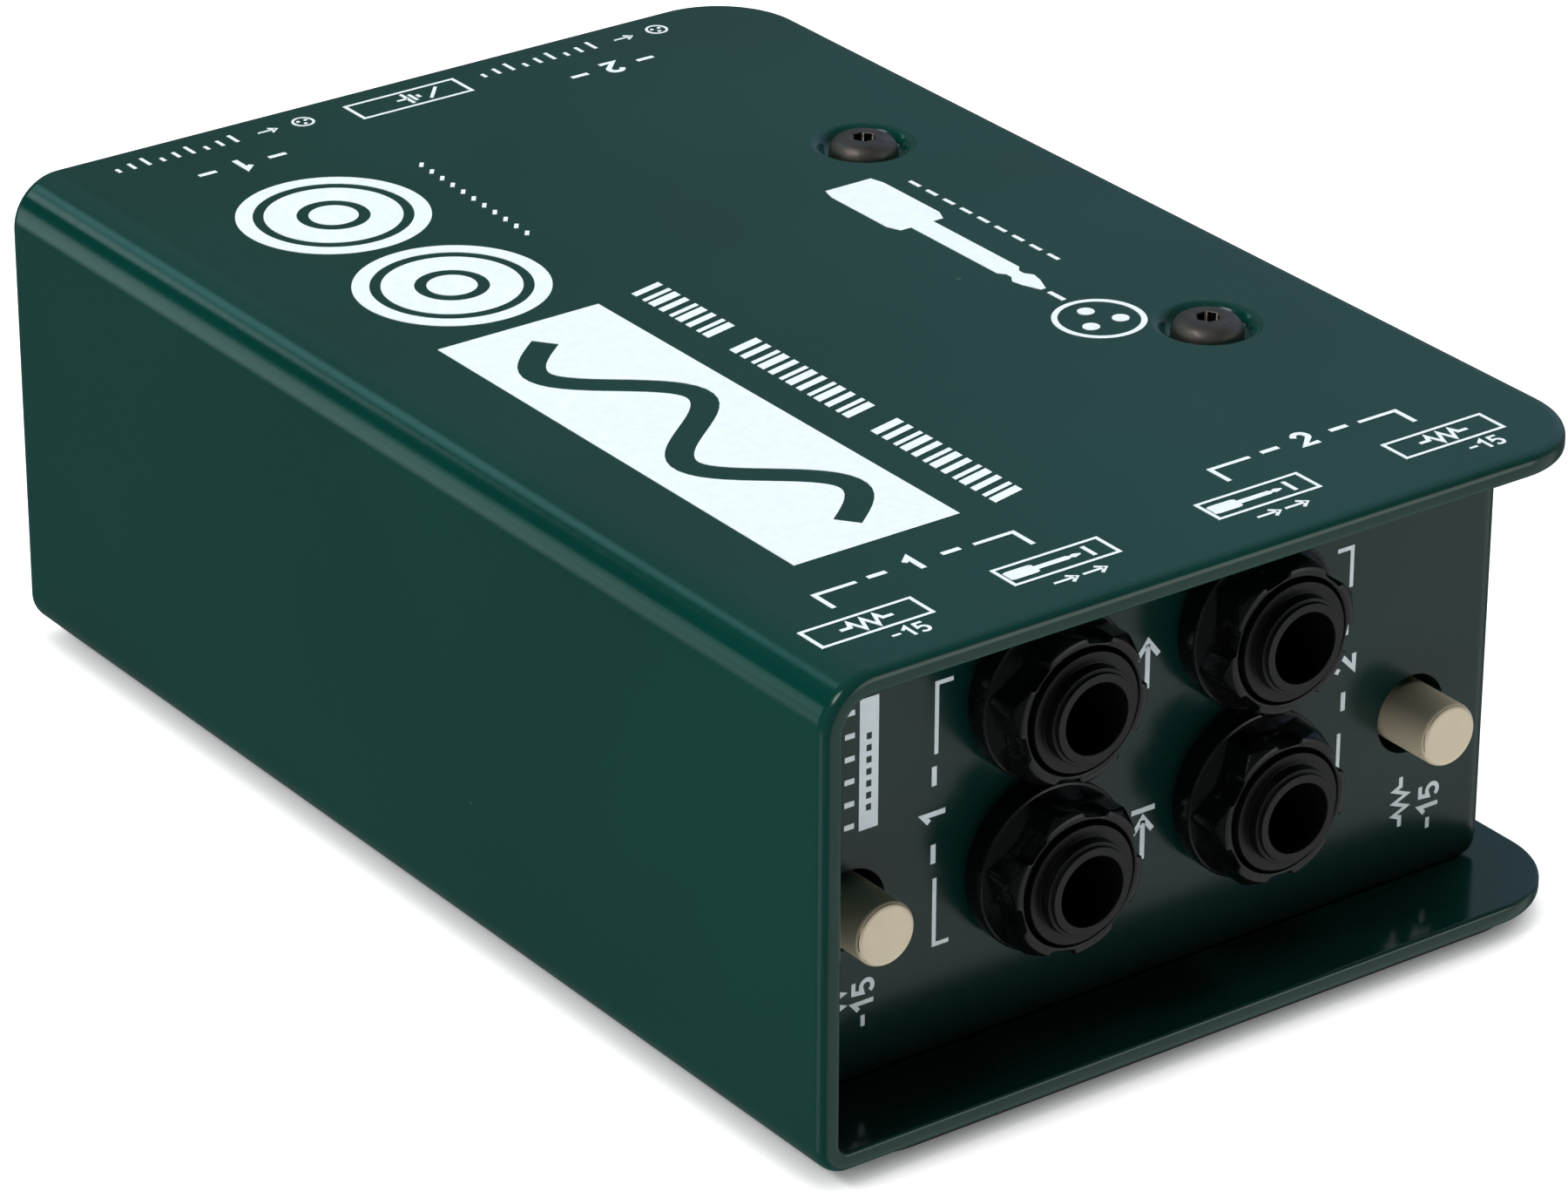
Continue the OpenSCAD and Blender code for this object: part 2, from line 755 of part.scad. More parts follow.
// Flat cable between the two headers, with a quarter bend at each end
module board_ribbon() {
    half = 0.45;
    width = 12.7;
    drop = input_board_z - header_h - output_board_top - header_h;
    run = header_output_y - header_input_y;
    bend = drop / 2;
    upper = [for (a = [0 : 10 : 90])
        [bend - (bend + half) * cos(a), -(bend + half) * sin(a)]];
    lower = [for (a = [90 : -10 : 0])
        [run - bend + (bend - half) * cos(a), -drop + (bend - half) * sin(a)]];
    lower_back = [for (a = [0 : 10 : 90])
        [run - bend + (bend + half) * cos(a), -drop + (bend + half) * sin(a)]];
    upper_back = [for (a = [90 : -10 : 0])
        [bend - (bend - half) * cos(a), -(bend - half) * sin(a)]];
    color([0.6, 0.6, 0.58])
    translate([fittings_x - width / 2, header_input_y, input_board_z - header_h])
        rotate([90, 0, 90])
            linear_extrude(width)
                polygon(concat(upper, lower, lower_back, upper_back));
}

// ---- transformers ----

module transformer_can(x) {
    color([0.62, 0.62, 0.6])
    translate([x, can_mid_y, output_board_top])
        difference() {
            translate([-can_w / 2, -can_length / 2, 0])
                linear_extrude(can_h) round_rect(can_w, can_length, 2);
            translate([-can_w / 2 + can_sheet, -can_length / 2 + can_sheet, -1])
                linear_extrude(can_h + 1 - can_sheet)
                    round_rect(can_w - 2 * can_sheet, can_length - 2 * can_sheet, 1.2);
        }
}

// Stack of E and I laminations, as one block with two windows
module transformer_core(x) {
    leg = (core_w - 2 * core_window_w) / 2;
    color([0.45, 0.44, 0.43])
    translate([x, can_mid_y, output_board_top + core_h / 2])
        difference() {
            cube([core_w, core_length, core_h], center = true);
            for (side = [-1, 1])
                translate([side * (leg / 2 + core_window_w / 2), 0, 0])
                    cube([core_window_w, core_length + 2, core_window_h], center = true);
        }
}

// Winding round the core's centre leg, resting on the lower yoke
module transformer_coil(x) {
    leg = (core_w - 2 * core_window_w) / 2;
    inner_w = leg + 2 * coil_gap;
    inner_l = core_length + 2 * coil_gap;
    outer_w = leg + 2 * core_window_w - 2 * coil_gap;
    outer_l = core_length + 2 * coil_over;
    h = core_window_h - coil_gap;
    color([0.7, 0.4, 0.2])
    translate([x, can_mid_y, output_board_top + (core_h - core_window_h) / 2])
        difference() {
            translate([-outer_w / 2, -outer_l / 2, 0])
                linear_extrude(h) round_rect(outer_w, outer_l, 2);
            translate([-inner_w / 2, -inner_l / 2, -1])
                cube([inner_w, inner_l, h + 2]);
        }
}

module transformer_can_left() { transformer_can(xlr_left_x); }
module transformer_can_right() { transformer_can(xlr_right_x - 1.4); }
module transformer_core_left() { transformer_core(xlr_left_x); }
module transformer_core_right() { transformer_core(xlr_right_x - 1.4); }
module transformer_coil_left() { transformer_coil(xlr_left_x); }
module transformer_coil_right() { transformer_coil(xlr_right_x - 1.4); }

// ---- output connectors ----

// How far behind the panel the leg of the pin at this angle goes down
function xlr_leg_depth(angle) = angle == 270 ? 19 : 21.5;

module xlr_shell() {
    key_w = 3.2;
    color([0.15, 0.15, 0.16])
    difference() {
        union() {
            translate([-xlr_flange_w / 2, -xlr_flange_h / 2, 0])
                linear_extrude(xlr_flange_sheet) round_rect(xlr_flange_w, xlr_flange_h, 3);
            translate([0, 0, -xlr_depth]) cylinder(d = xlr_tube_d, h = xlr_depth + eps);
        }
        translate([0, 0, -xlr_depth - 1])
            cylinder(d = xlr_socket_d, h = xlr_depth + xlr_flange_sheet + 2);
        // Latch window at the top of the socket
        translate([-key_w / 2, 0, -8]) cube([key_w, xlr_socket_d / 2 + 1, 3]);
        for (side = [-1, 1])
            translate([side * xlr_screw_x, side * xlr_screw_z, -1])
                cylinder(d = 3.3, h = xlr_flange_sheet + 2);
    }
}

module xlr_insert() {
    color([0.08, 0.08, 0.08])
    difference() {
        translate([0, 0, -xlr_depth])
            cylinder(d = xlr_socket_d - 0.04, h = xlr_insert_sheet);
        for (angle = xlr_pin_angles)
            translate([xlr_pin_circle_r * cos(angle), xlr_pin_circle_r * sin(angle), -xlr_depth - 1])
                cylinder(d = xlr_pin_d + 0.04, h = xlr_insert_sheet + 2);
    }
}

module xlr_pins() {
    tip = 1;
    pin_front = -1;
    leg_top = -xlr_z + output_board_z - solder_tail;
    color([0.85, 0.8, 0.6])
    for (angle = xlr_pin_angles) {
        pin_y = xlr_pin_circle_r * sin(angle);
        back = -xlr_leg_depth(angle);
        translate([xlr_pin_circle_r * cos(angle), pin_y, 0]) {
            translate([0, 0, back]) cylinder(d = xlr_pin_d, h = pin_front - tip - back);
            translate([0, 0, pin_front - tip]) cylinder(d1 = xlr_pin_d, d2 = xlr_pin_d - 1, h = tip);
            translate([0, leg_top - pin_y, back])
                rotate([-90, 0, 0]) cylinder(d = xlr_leg_d, h = pin_y - leg_top);
        }
    }
}

module xlr_shell_left() { on_rear(xlr_left_x, xlr_z) xlr_shell(); }
module xlr_shell_right() { on_rear(xlr_right_x, xlr_z) xlr_shell(); }
module xlr_insert_left() { on_rear(xlr_left_x, xlr_z) xlr_insert(); }
module xlr_insert_right() { on_rear(xlr_right_x, xlr_z) xlr_insert(); }
module xlr_pins_left() { on_rear(xlr_left_x, xlr_z) xlr_pins(); }
module xlr_pins_right() { on_rear(xlr_right_x, xlr_z) xlr_pins(); }

module xlr_screws() {
    color([0.2, 0.2, 0.2])
    for (x = [xlr_left_x, xlr_right_x], side = [-1, 1])
        on_rear(x, xlr_z)
            translate([side * xlr_screw_x, side * xlr_screw_z, xlr_flange_sheet])
                pan_screw(5, 2.94);
}

outer_shell();
inner_chassis();
non_slip_pad();
top_screws();
bottom_screws();
clinch_nuts();
input_jack_left();
input_jack_right();
thru_jack_left();
thru_jack_right();
input_nut_left();
input_nut_right();
thru_nut_left();
thru_nut_right();
jack_washers();
input_contacts_left();
input_contacts_right();
thru_contacts_left();
thru_contacts_right();
pad_switch_left();
pad_switch_right();
lift_switch();
switch_terminals();
pad_cap_left();
pad_cap_right();
lift_cap();
pad_plunger_left();
pad_plunger_right();
lift_plunger();
pad_spring_left();
pad_spring_right();
lift_spring();
input_board();
output_board();
board_standoffs();
board_screws();
transformer_can_left();
transformer_can_right();
transformer_core_left();
transformer_core_right();
transformer_coil_left();
transformer_coil_right();
xlr_shell_left();
xlr_shell_right();
xlr_insert_left();
xlr_insert_right();
xlr_pins_left();
xlr_pins_right();
xlr_screws();
pad_resistors();
filter_capacitors();
board_headers();
board_ribbon();
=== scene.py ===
"""Looks of a stereo direct injection box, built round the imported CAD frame.

Metres in the CAD frame; sizes written in millimetres are multiplied by MM.
+Z is up, the input panel faces -Y, the shell's closed wall is on -X.
"""

import math

import bpy
from mathutils import Matrix, Vector
from mathutils.geometry import tessellate_polygon


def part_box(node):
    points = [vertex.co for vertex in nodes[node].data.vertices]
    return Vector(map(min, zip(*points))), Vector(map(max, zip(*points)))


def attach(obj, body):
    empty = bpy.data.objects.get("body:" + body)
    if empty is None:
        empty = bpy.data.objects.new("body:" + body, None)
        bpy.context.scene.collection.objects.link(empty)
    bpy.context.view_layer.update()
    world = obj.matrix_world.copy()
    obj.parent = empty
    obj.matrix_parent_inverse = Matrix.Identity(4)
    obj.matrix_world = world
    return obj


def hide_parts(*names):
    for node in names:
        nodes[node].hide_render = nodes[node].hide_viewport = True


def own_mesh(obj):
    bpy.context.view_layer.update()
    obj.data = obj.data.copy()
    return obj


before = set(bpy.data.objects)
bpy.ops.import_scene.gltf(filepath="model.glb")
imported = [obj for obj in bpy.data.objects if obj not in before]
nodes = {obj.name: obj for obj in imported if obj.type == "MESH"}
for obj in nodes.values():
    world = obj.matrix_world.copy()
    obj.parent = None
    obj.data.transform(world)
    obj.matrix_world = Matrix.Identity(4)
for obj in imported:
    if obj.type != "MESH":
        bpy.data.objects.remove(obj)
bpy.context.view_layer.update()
MM = 0.001


def extent(node):
    """Lowest and highest corner of a CAD node in millimetres."""
    lo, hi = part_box(node)
    return lo / MM, hi / MM


# ---------------------------------------------------------------- places

shell_lo, shell_hi = extent("outer_shell")
WALL = 2.0                       # the shell's sheet
BEND_LOW, BEND_TOP = 3.0, 5.0    # its outer bend radii
CORNER = 9.0                     # plan radius of the plates' right corners
COAT = 0.3                       # build-up of enamel round the plates' edges
TOP = shell_hi.z + 0.15          # the enamel's surface on the top plate
PANEL = extent("inner_chassis")[1].y    # both panels' outer faces lie this far from the middle


def middle(node):
    lo, hi = extent(node)
    return (lo + hi) / 2


def on_front(x, z):
    """Frame of a fitting in the front panel: X right, Y up, Z out to the front."""
    return Matrix.Translation((x, -PANEL, z)) @ Matrix.Rotation(math.pi / 2, 4, "X")


def on_rear(x, z):
    """Frame of a fitting in the rear panel: X left, Y up, Z out to the rear."""
    return (Matrix.Translation((x, PANEL, z)) @ Matrix.Rotation(math.pi, 4, "Z")
            @ Matrix.Rotation(math.pi / 2, 4, "X"))


# ---------------------------------------------------------------- materials

def shader(name, **values):
    """A node material with a Principled shader; constants sit on its own sockets."""
    m = bpy.data.materials.new(name)
    m.use_nodes = True
    m.node_tree.nodes.clear()
    out = m.node_tree.nodes.new("ShaderNodeOutputMaterial")
    p = m.node_tree.nodes.new("ShaderNodeBsdfPrincipled")
    m.node_tree.links.new(p.outputs[0], out.inputs[0])
    for key, value in values.items():
        p.inputs[key.replace("_", " ")].default_value = value
    return m, m.node_tree.nodes, m.node_tree.links, p


def coords(ns, ls, scale=1.0, stretch=(1, 1, 1), turn=(0, 0, 0)):
    """Object coordinates in millimetres times scale."""
    tc = ns.new("ShaderNodeTexCoord")
    mp = ns.new("ShaderNodeMapping")
    mp.inputs["Rotation"].default_value = turn
    mp.inputs["Scale"].default_value = [1000 * scale * s for s in stretch]
    ls.new(tc.outputs["Object"], mp.inputs["Vector"])
    return mp.outputs["Vector"]


def noise(ns, ls, vec, scale=1.0, detail=3.0, rough=0.55):
    n = ns.new("ShaderNodeTexNoise")
    n.inputs["Scale"].default_value = scale
    n.inputs["Detail"].default_value = detail
    n.inputs["Roughness"].default_value = rough
    ls.new(vec, n.inputs["Vector"])
    return n.outputs["Fac"]


def ramp(ns, ls, fac, stops, interpolation="LINEAR"):
    r = ns.new("ShaderNodeValToRGB")
    r.color_ramp.interpolation = interpolation
    while len(r.color_ramp.elements) < len(stops):
        r.color_ramp.elements.new(0.5)
    for e, (pos, col) in zip(r.color_ramp.elements, stops):
        e.position = pos
        e.color = (*col, 1)
    ls.new(fac, r.inputs[0])
    return r.outputs[0]


def remap(ns, ls, fac, lo, hi, low=0.0, high=1.0):
    r = ns.new("ShaderNodeMapRange")
    for key, v in (("From Min", low), ("From Max", high), ("To Min", lo), ("To Max", hi)):
        r.inputs[key].default_value = v
    ls.new(fac, r.inputs["Value"])
    return r.outputs["Result"]


def bump(ns, ls, p, height, strength, distance):
    b = ns.new("ShaderNodeBump")
    b.inputs["Strength"].default_value = strength
    b.inputs["Distance"].default_value = distance * MM
    ls.new(height, b.inputs["Height"])
    ls.new(b.outputs[0], p.inputs["Normal"])


def mix(ns, ls, fac, socket_a, colour_b):
    """One output blended towards a plain colour by another output."""
    m = ns.new("ShaderNodeMix")
    m.data_type = "RGBA"
    ls.new(fac, m.inputs[0])
    ls.new(socket_a, m.inputs[6])
    m.inputs[7].default_value = (*colour_b, 1)
    return m.outputs[2]


def enamel(name, base, rough, dust=0.5):
    """Stoved enamel: faint mottle, orange peel under the gloss, a speck of dust here and there."""
    m, ns, ls, p = shader(name, IOR=1.5, Specular_IOR_Level=0.5)
    wide = noise(ns, ls, coords(ns, ls, 0.03), detail=2)
    low = tuple(c * 0.93 for c in base)
    high = tuple(c * 1.07 for c in base)
    col = ramp(ns, ls, wide, [(0.3, low), (0.7, high)])
    speck = noise(ns, ls, coords(ns, ls, 0.55, turn=(0.3, 0.2, 0.7)), detail=1.0, rough=0.3)
    dots = ramp(ns, ls, speck, [(0.86, (0, 0, 0)), (0.885, (dust, dust, dust))])
    col = mix(ns, ls, dots, col, tuple(min(1, c * 2 + 0.05) for c in base))
    ls.new(col, p.inputs["Base Color"])
    fine = noise(ns, ls, coords(ns, ls, 0.9), detail=2)
    ls.new(remap(ns, ls, fine, rough * 0.85, rough * 1.15, 0.3, 0.7), p.inputs["Roughness"])
    peel = noise(ns, ls, coords(ns, ls, 1.3), detail=2)
    bump(ns, ls, p, peel, 0.10, 0.02)
    return m


def moulded(name, base, rough, grain=1.0, level=0.5, vary=0.12):
    """Moulded plastic: fine spark-eroded grain and slightly uneven gloss."""
    m, ns, ls, p = shader(name, IOR=1.5, Specular_IOR_Level=level)
    wide = noise(ns, ls, coords(ns, ls, 0.25), detail=3)
    col = ramp(ns, ls, wide, [(0.3, tuple(c * (1 - vary) for c in base)),
                              (0.7, tuple(c * (1 + vary) for c in base))])
    ls.new(col, p.inputs["Base Color"])
    fine = noise(ns, ls, coords(ns, ls, 5.0 * grain), detail=3, rough=0.7)
    ls.new(remap(ns, ls, fine, rough * 0.8, rough * 1.25, 0.3, 0.7), p.inputs["Roughness"])
    bump(ns, ls, p, fine, 0.35, 0.02)
    return m


def plated(name, base, rough, scratch=(1, 1, 1)):
    """Plated or drawn metal: fine streaks, light tarnish."""
    m, ns, ls, p = shader(name, Metallic=1.0)
    wide = noise(ns, ls, coords(ns, ls, 0.4), detail=4)
    col = ramp(ns, ls, wide, [(0.3, tuple(c * 0.82 for c in base)), (0.7, tuple(min(1, c * 1.1) for c in base))])
    ls.new(col, p.inputs["Base Color"])
    streak = noise(ns, ls, coords(ns, ls, 2.0, scratch), detail=4, rough=0.7)
    ls.new(remap(ns, ls, streak, rough * 0.7, rough * 1.4, 0.3, 0.7), p.inputs["Roughness"])
    bump(ns, ls, p, streak, 0.12, 0.01)
    return m


def ink(name, base, rough):
    """Screen-printed ink: a little thin and uneven."""
    m, ns, ls, p = shader(name, IOR=1.45)
    spots = noise(ns, ls, coords(ns, ls, 1.2), detail=4, rough=0.6)
    col = ramp(ns, ls, spots, [(0.25, tuple(c * 0.93 for c in base)), (0.6, base)])
    ls.new(col, p.inputs["Base Color"])
    ls.new(remap(ns, ls, spots, rough * 0.9, rough * 1.15, 0.3, 0.7), p.inputs["Roughness"])
    bump(ns, ls, p, spots, 0.15, 0.01)
    return m


def foam_rubber(name, base):
    """Closed-cell foam: matt, with shallow round pores."""
    m, ns, ls, p = shader(name, IOR=1.45, Specular_IOR_Level=0.3)
    cells = ns.new("ShaderNodeTexVoronoi")
    cells.inputs["Scale"].default_value = 1.0
    ls.new(coords(ns, ls, 2.4), cells.inputs["Vector"])
    col = ramp(ns, ls, cells.outputs["Distance"], [(0.05, tuple(c * 0.6 for c in base)), (0.6, base)])
    ls.new(col, p.inputs["Base Color"])
    ls.new(remap(ns, ls, cells.outputs["Distance"], 0.95, 0.75, 0, 0.7), p.inputs["Roughness"])
    bump(ns, ls, p, cells.outputs["Distance"], 0.5, 0.12)
    return m


def laminated(name, base):
    """Stacked sheets seen on edge."""
    m, ns, ls, p = shader(name, Metallic=1.0, Roughness=0.45)
    w = ns.new("ShaderNodeTexWave")
    w.bands_direction = "Y"
    w.inputs["Scale"].default_value = 0.9
    w.inputs["Distortion"].default_value = 0.4
    ls.new(coords(ns, ls), w.inputs["Vector"])
    col = ramp(ns, ls, w.outputs["Fac"], [(0.0, tuple(c * 0.4 for c in base)), (0.35, base)])
    ls.new(col, p.inputs["Base Color"])
    bump(ns, ls, p, w.outputs["Fac"], 0.5, 0.05)
    return m


def wound(name, base):
    """Turns of varnished wire, laid side by side up the bobbin."""
    m, ns, ls, p = shader(name, Metallic=0.9, Roughness=0.3)
    w = ns.new("ShaderNodeTexWave")
    w.bands_direction = "Z"
    w.inputs["Scale"].default_value = 1.6
    w.inputs["Distortion"].default_value = 0.6
    ls.new(coords(ns, ls), w.inputs["Vector"])
    col = ramp(ns, ls, w.outputs["Fac"], [(0.0, tuple(c * 0.3 for c in base)), (0.5, base)])
    ls.new(col, p.inputs["Base Color"])
    bump(ns, ls, p, w.outputs["Fac"], 0.8, 0.08)
    return m


def circuit(name):
    """Solder mask over copper tracks."""
    m, ns, ls, p = shader(name, IOR=1.5)
    v = ns.new("ShaderNodeTexVoronoi")
    v.distance = "MANHATTAN"
    v.inputs["Scale"].default_value = 0.22
    ls.new(coords(ns, ls), v.inputs["Vector"])
    bare, track = (0.012, 0.085, 0.035), (0.025, 0.16, 0.06)
    tracks = ramp(ns, ls, v.outputs["Distance"], [(0.40, bare), (0.42, track), (0.55, track), (0.57, bare)])
    ls.new(tracks, p.inputs["Base Color"])
    ls.new(remap(ns, ls, v.outputs["Distance"], 0.25, 0.4), p.inputs["Roughness"])
    bump(ns, ls, p, tracks, 0.3, 0.03)
    return m


def banded(name, base, bands, along="Y", period=1.0):
    """Lacquered component with colour bands across its length."""
    m, ns, ls, p = shader(name, IOR=1.5)
    sep = ns.new("ShaderNodeSeparateXYZ")
    ls.new(coords(ns, ls), sep.inputs[0])
    pp = ns.new("ShaderNodeMath")
    pp.operation = "PINGPONG"
    pp.inputs[1].default_value = period
    ls.new(sep.outputs[along], pp.inputs[0])
    frac = ns.new("ShaderNodeMath")
    frac.operation = "DIVIDE"
    frac.inputs[1].default_value = period
    ls.new(pp.outputs[0], frac.inputs[0])
    ls.new(ramp(ns, ls, frac.outputs[0], [(0.0, base)] + bands, "CONSTANT"), p.inputs["Base Color"])
    rough = noise(ns, ls, coords(ns, ls, 2.0))
    ls.new(remap(ns, ls, rough, 0.2, 0.35), p.inputs["Roughness"])
    return m


BLUE = (0.10, 0.22, 0.32)        # the resistors' lacquer
MAT = {
    "shell": enamel("shell_enamel", (0.0016, 0.034, 0.0265), 0.13),
    "chassis": enamel("chassis_enamel", (0.0024, 0.026, 0.0225), 0.20),
    "foam": foam_rubber("pad_foam", (0.020, 0.016, 0.015)),
    "white": ink("white_ink", (0.83, 0.93, 0.97), 0.42),
    "jack": moulded("jack_moulding", (0.0040, 0.0040, 0.0042), 0.36, 1.4, 0.36, 0.2),
    "nut": moulded("nut_moulding", (0.0030, 0.0030, 0.0032), 0.25, 0.7, 0.42),
    "washer": moulded("washer_sheet", (0.006, 0.006, 0.006), 0.36, 0.8, 0.5),
    "cap": moulded("cap_moulding", (0.76, 0.665, 0.485), 0.45, 0.8, 0.35, 0.03),
    "bronze": plated("screw_plating", (0.25, 0.22, 0.20), 0.50),
    # near-black finish that stands in for the shade inside the screws' hexagon sockets: painted shade
    "socket": plated("socket_shadow", (0.012, 0.010, 0.010), 0.8),
    "zinc": plated("zinc_plating", (0.62, 0.62, 0.60), 0.30),
    "tin": plated("tin_plating", (0.70, 0.66, 0.52), 0.28),
    "nickel": plated("nickel_plating", (0.70, 0.67, 0.58), 0.22),
    "silver": plated("pin_plating", (0.80, 0.78, 0.72), 0.18),
    "black_screw": plated("black_plating", (0.045, 0.045, 0.047), 0.30),
    "wire": plated("spring_wire", (0.60, 0.60, 0.60), 0.22),
    "can": plated("drawn_shield", (0.52, 0.52, 0.50), 0.33, scratch=(1, 1, 0.06)),
    "core": laminated("core_laminations", (0.30, 0.29, 0.28)),
    "coil": wound("coil_winding", (0.62, 0.30, 0.13)),
    "board": circuit("board_mask"),
    "switch": moulded("switch_moulding", (0.018, 0.018, 0.020), 0.45, 0.8),
    "plunger": moulded("plunger_moulding", (0.62, 0.60, 0.54), 0.4, 0.8, 0.5, 0.04),
    "connector": enamel("connector_finish", (0.010, 0.010, 0.011), 0.26, 0.0),
    "insert": moulded("insert_moulding", (0.010, 0.010, 0.010), 0.5, 1.0),
    "header": moulded("header_moulding", (0.012, 0.012, 0.012), 0.4, 1.0),
    "resistor": banded("resistor_lacquer", BLUE,
                       [(0.30, (0.35, 0.02, 0.01)), (0.36, BLUE), (0.5, (0.01, 0.01, 0.01)), (0.56, BLUE),
                        (0.7, (0.30, 0.12, 0.02)), (0.76, BLUE)], period=3.2),
    "capacitor": moulded("capacitor_lacquer", (0.42, 0.035, 0.02), 0.25, 0.4, 0.5, 0.1),
    "ribbon": banded("ribbon_jacket", (0.28, 0.28, 0.28), [(0.88, (0.12, 0.12, 0.12))], along="X", period=0.635),
}


# ---------------------------------------------------------------- mesh code

def piece(name, verts, faces, mat, body="box", replaces=(), matrix=None, smooth=True):
    """A mesh object from points in millimetres, riding on a CAD body."""
    me = bpy.data.meshes.new(name)
    pts = [Vector(v) for v in verts]
    if matrix is not None:
        pts = [matrix @ p for p in pts]
    me.from_pydata([p * MM for p in pts], [], faces)
    me.validate()
    me.update()
    ob = bpy.data.objects.new(name, me)
    bpy.context.scene.collection.objects.link(ob)
    me.materials.append(MAT[mat])
    me.polygons.foreach_set("use_smooth", [smooth] * len(me.polygons))
    if smooth:
        even(ob)
    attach(ob, body)
    if replaces:
        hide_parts(*replaces)
    return ob


def even(ob):
    """Shading that keeps large flats flat and lets only the small roundings curve."""
    w = ob.modifiers.new("weighted", "WEIGHTED_NORMAL")
    w.weight = 100
    w.keep_sharp = True


def circle_points(cx, cy, r, n):
    return [(cx + r * math.cos(2 * math.pi * i / n), cy + r * math.sin(2 * math.pi * i / n)) for i in range(n)]


def fill(loops, verts, up):
    """Triangles over a flat loop with holes; loops are lists of indices into verts."""
    flat = [[Vector(verts[i]) for i in loop] for loop in loops]
    index = [i for loop in loops for i in loop]
    out = []
    for a, b, c in tessellate_polygon(flat):
        ia, ib, ic = index[a], index[b], index[c]
        va, vb, vc = (Vector(verts[i]) for i in (ia, ib, ic))
        n = (vb - va).cross(vc - va)
        if n.length < 1e-9:
            continue
        out.append((ia, ib, ic) if n.dot(up) > 0 else (ia, ic, ib))
    return out


def lathe(profile, n=64, reach=None):
    """Verts and faces of a closed profile of (r, z) turned round Z. Points on the axis become poles.
    reach(angle, r, z) may give a different radius for each angle."""
    verts, faces, rings = [], [], []
    for r, z in profile:
        if r < 1e-6:
            rings.append([len(verts)])
            verts.append((0, 0, z))
            continue
        ring = []
        for i in range(n):
            a = 2 * math.pi * i / n
            rr = reach(a, r, z) if reach else r
            ring.append(len(verts))
            verts.append((rr * math.cos(a), rr * math.sin(a), z))
        rings.append(ring)
    pairs = list(zip(rings, rings[1:]))
    if profile[0][0] > 1e-6 and profile[-1][0] > 1e-6:
        pairs.append((rings[-1], rings[0]))
    for a, b in pairs:
        for i in range(n):
            j = (i + 1) % n
            if len(a) == 1:
                faces.append((a[0], b[i], b[j]))
            elif len(b) == 1:
                faces.append((a[i], b[0], a[j]))
            else:
                faces.append((a[i], b[i], b[j], a[j]))
    return verts, faces


def join(*parts):
    """Several (verts, faces) as one."""
    verts, faces = [], []
    for v, f in parts:
        base = len(verts)
        verts += list(v)
        faces += [tuple(i + base for i in face) for face in f]
    return verts, faces


def moved(part, matrix):
    v, f = part
    return [tuple(matrix @ Vector(p)) for p in v], f


# ---------------------------------------------------------------- outer shell

SINK = 1.25                      # depth of the pressed dimple round each screw
# (inset, depth) down the sheared edge of the sheet: a wide roll on the outside, a tight one inside
SHEARED = [(1.15, 0), (0.85, 0.035), (0.6, 0.10), (0.4, 0.19), (0.24, 0.32), (0.12, 0.48), (0.03, 0.72), (0, 0.95),
           (0, 1.3), (0, 1.62), (0.05, 1.8), (0.15, 1.93), (0.32, 2.0)]
# (radius, depth) down a dimple and through the screw hole
DIMPLE = [(5.1, 0), (4.85, 0.03), (4.62, 0.10), (4.42, 0.22), (4.25, 0.40), (4.1, 0.62), (3.95, 0.86),
          (3.8, 1.06), (3.6, 1.2), (3.4, SINK), (2.1, SINK), (1.95, SINK + 0.1), (1.95, WALL)]
SCREWS = [(middle("top_screws").x, s * 25.5 - 0.6) for s in (-1, 1)]


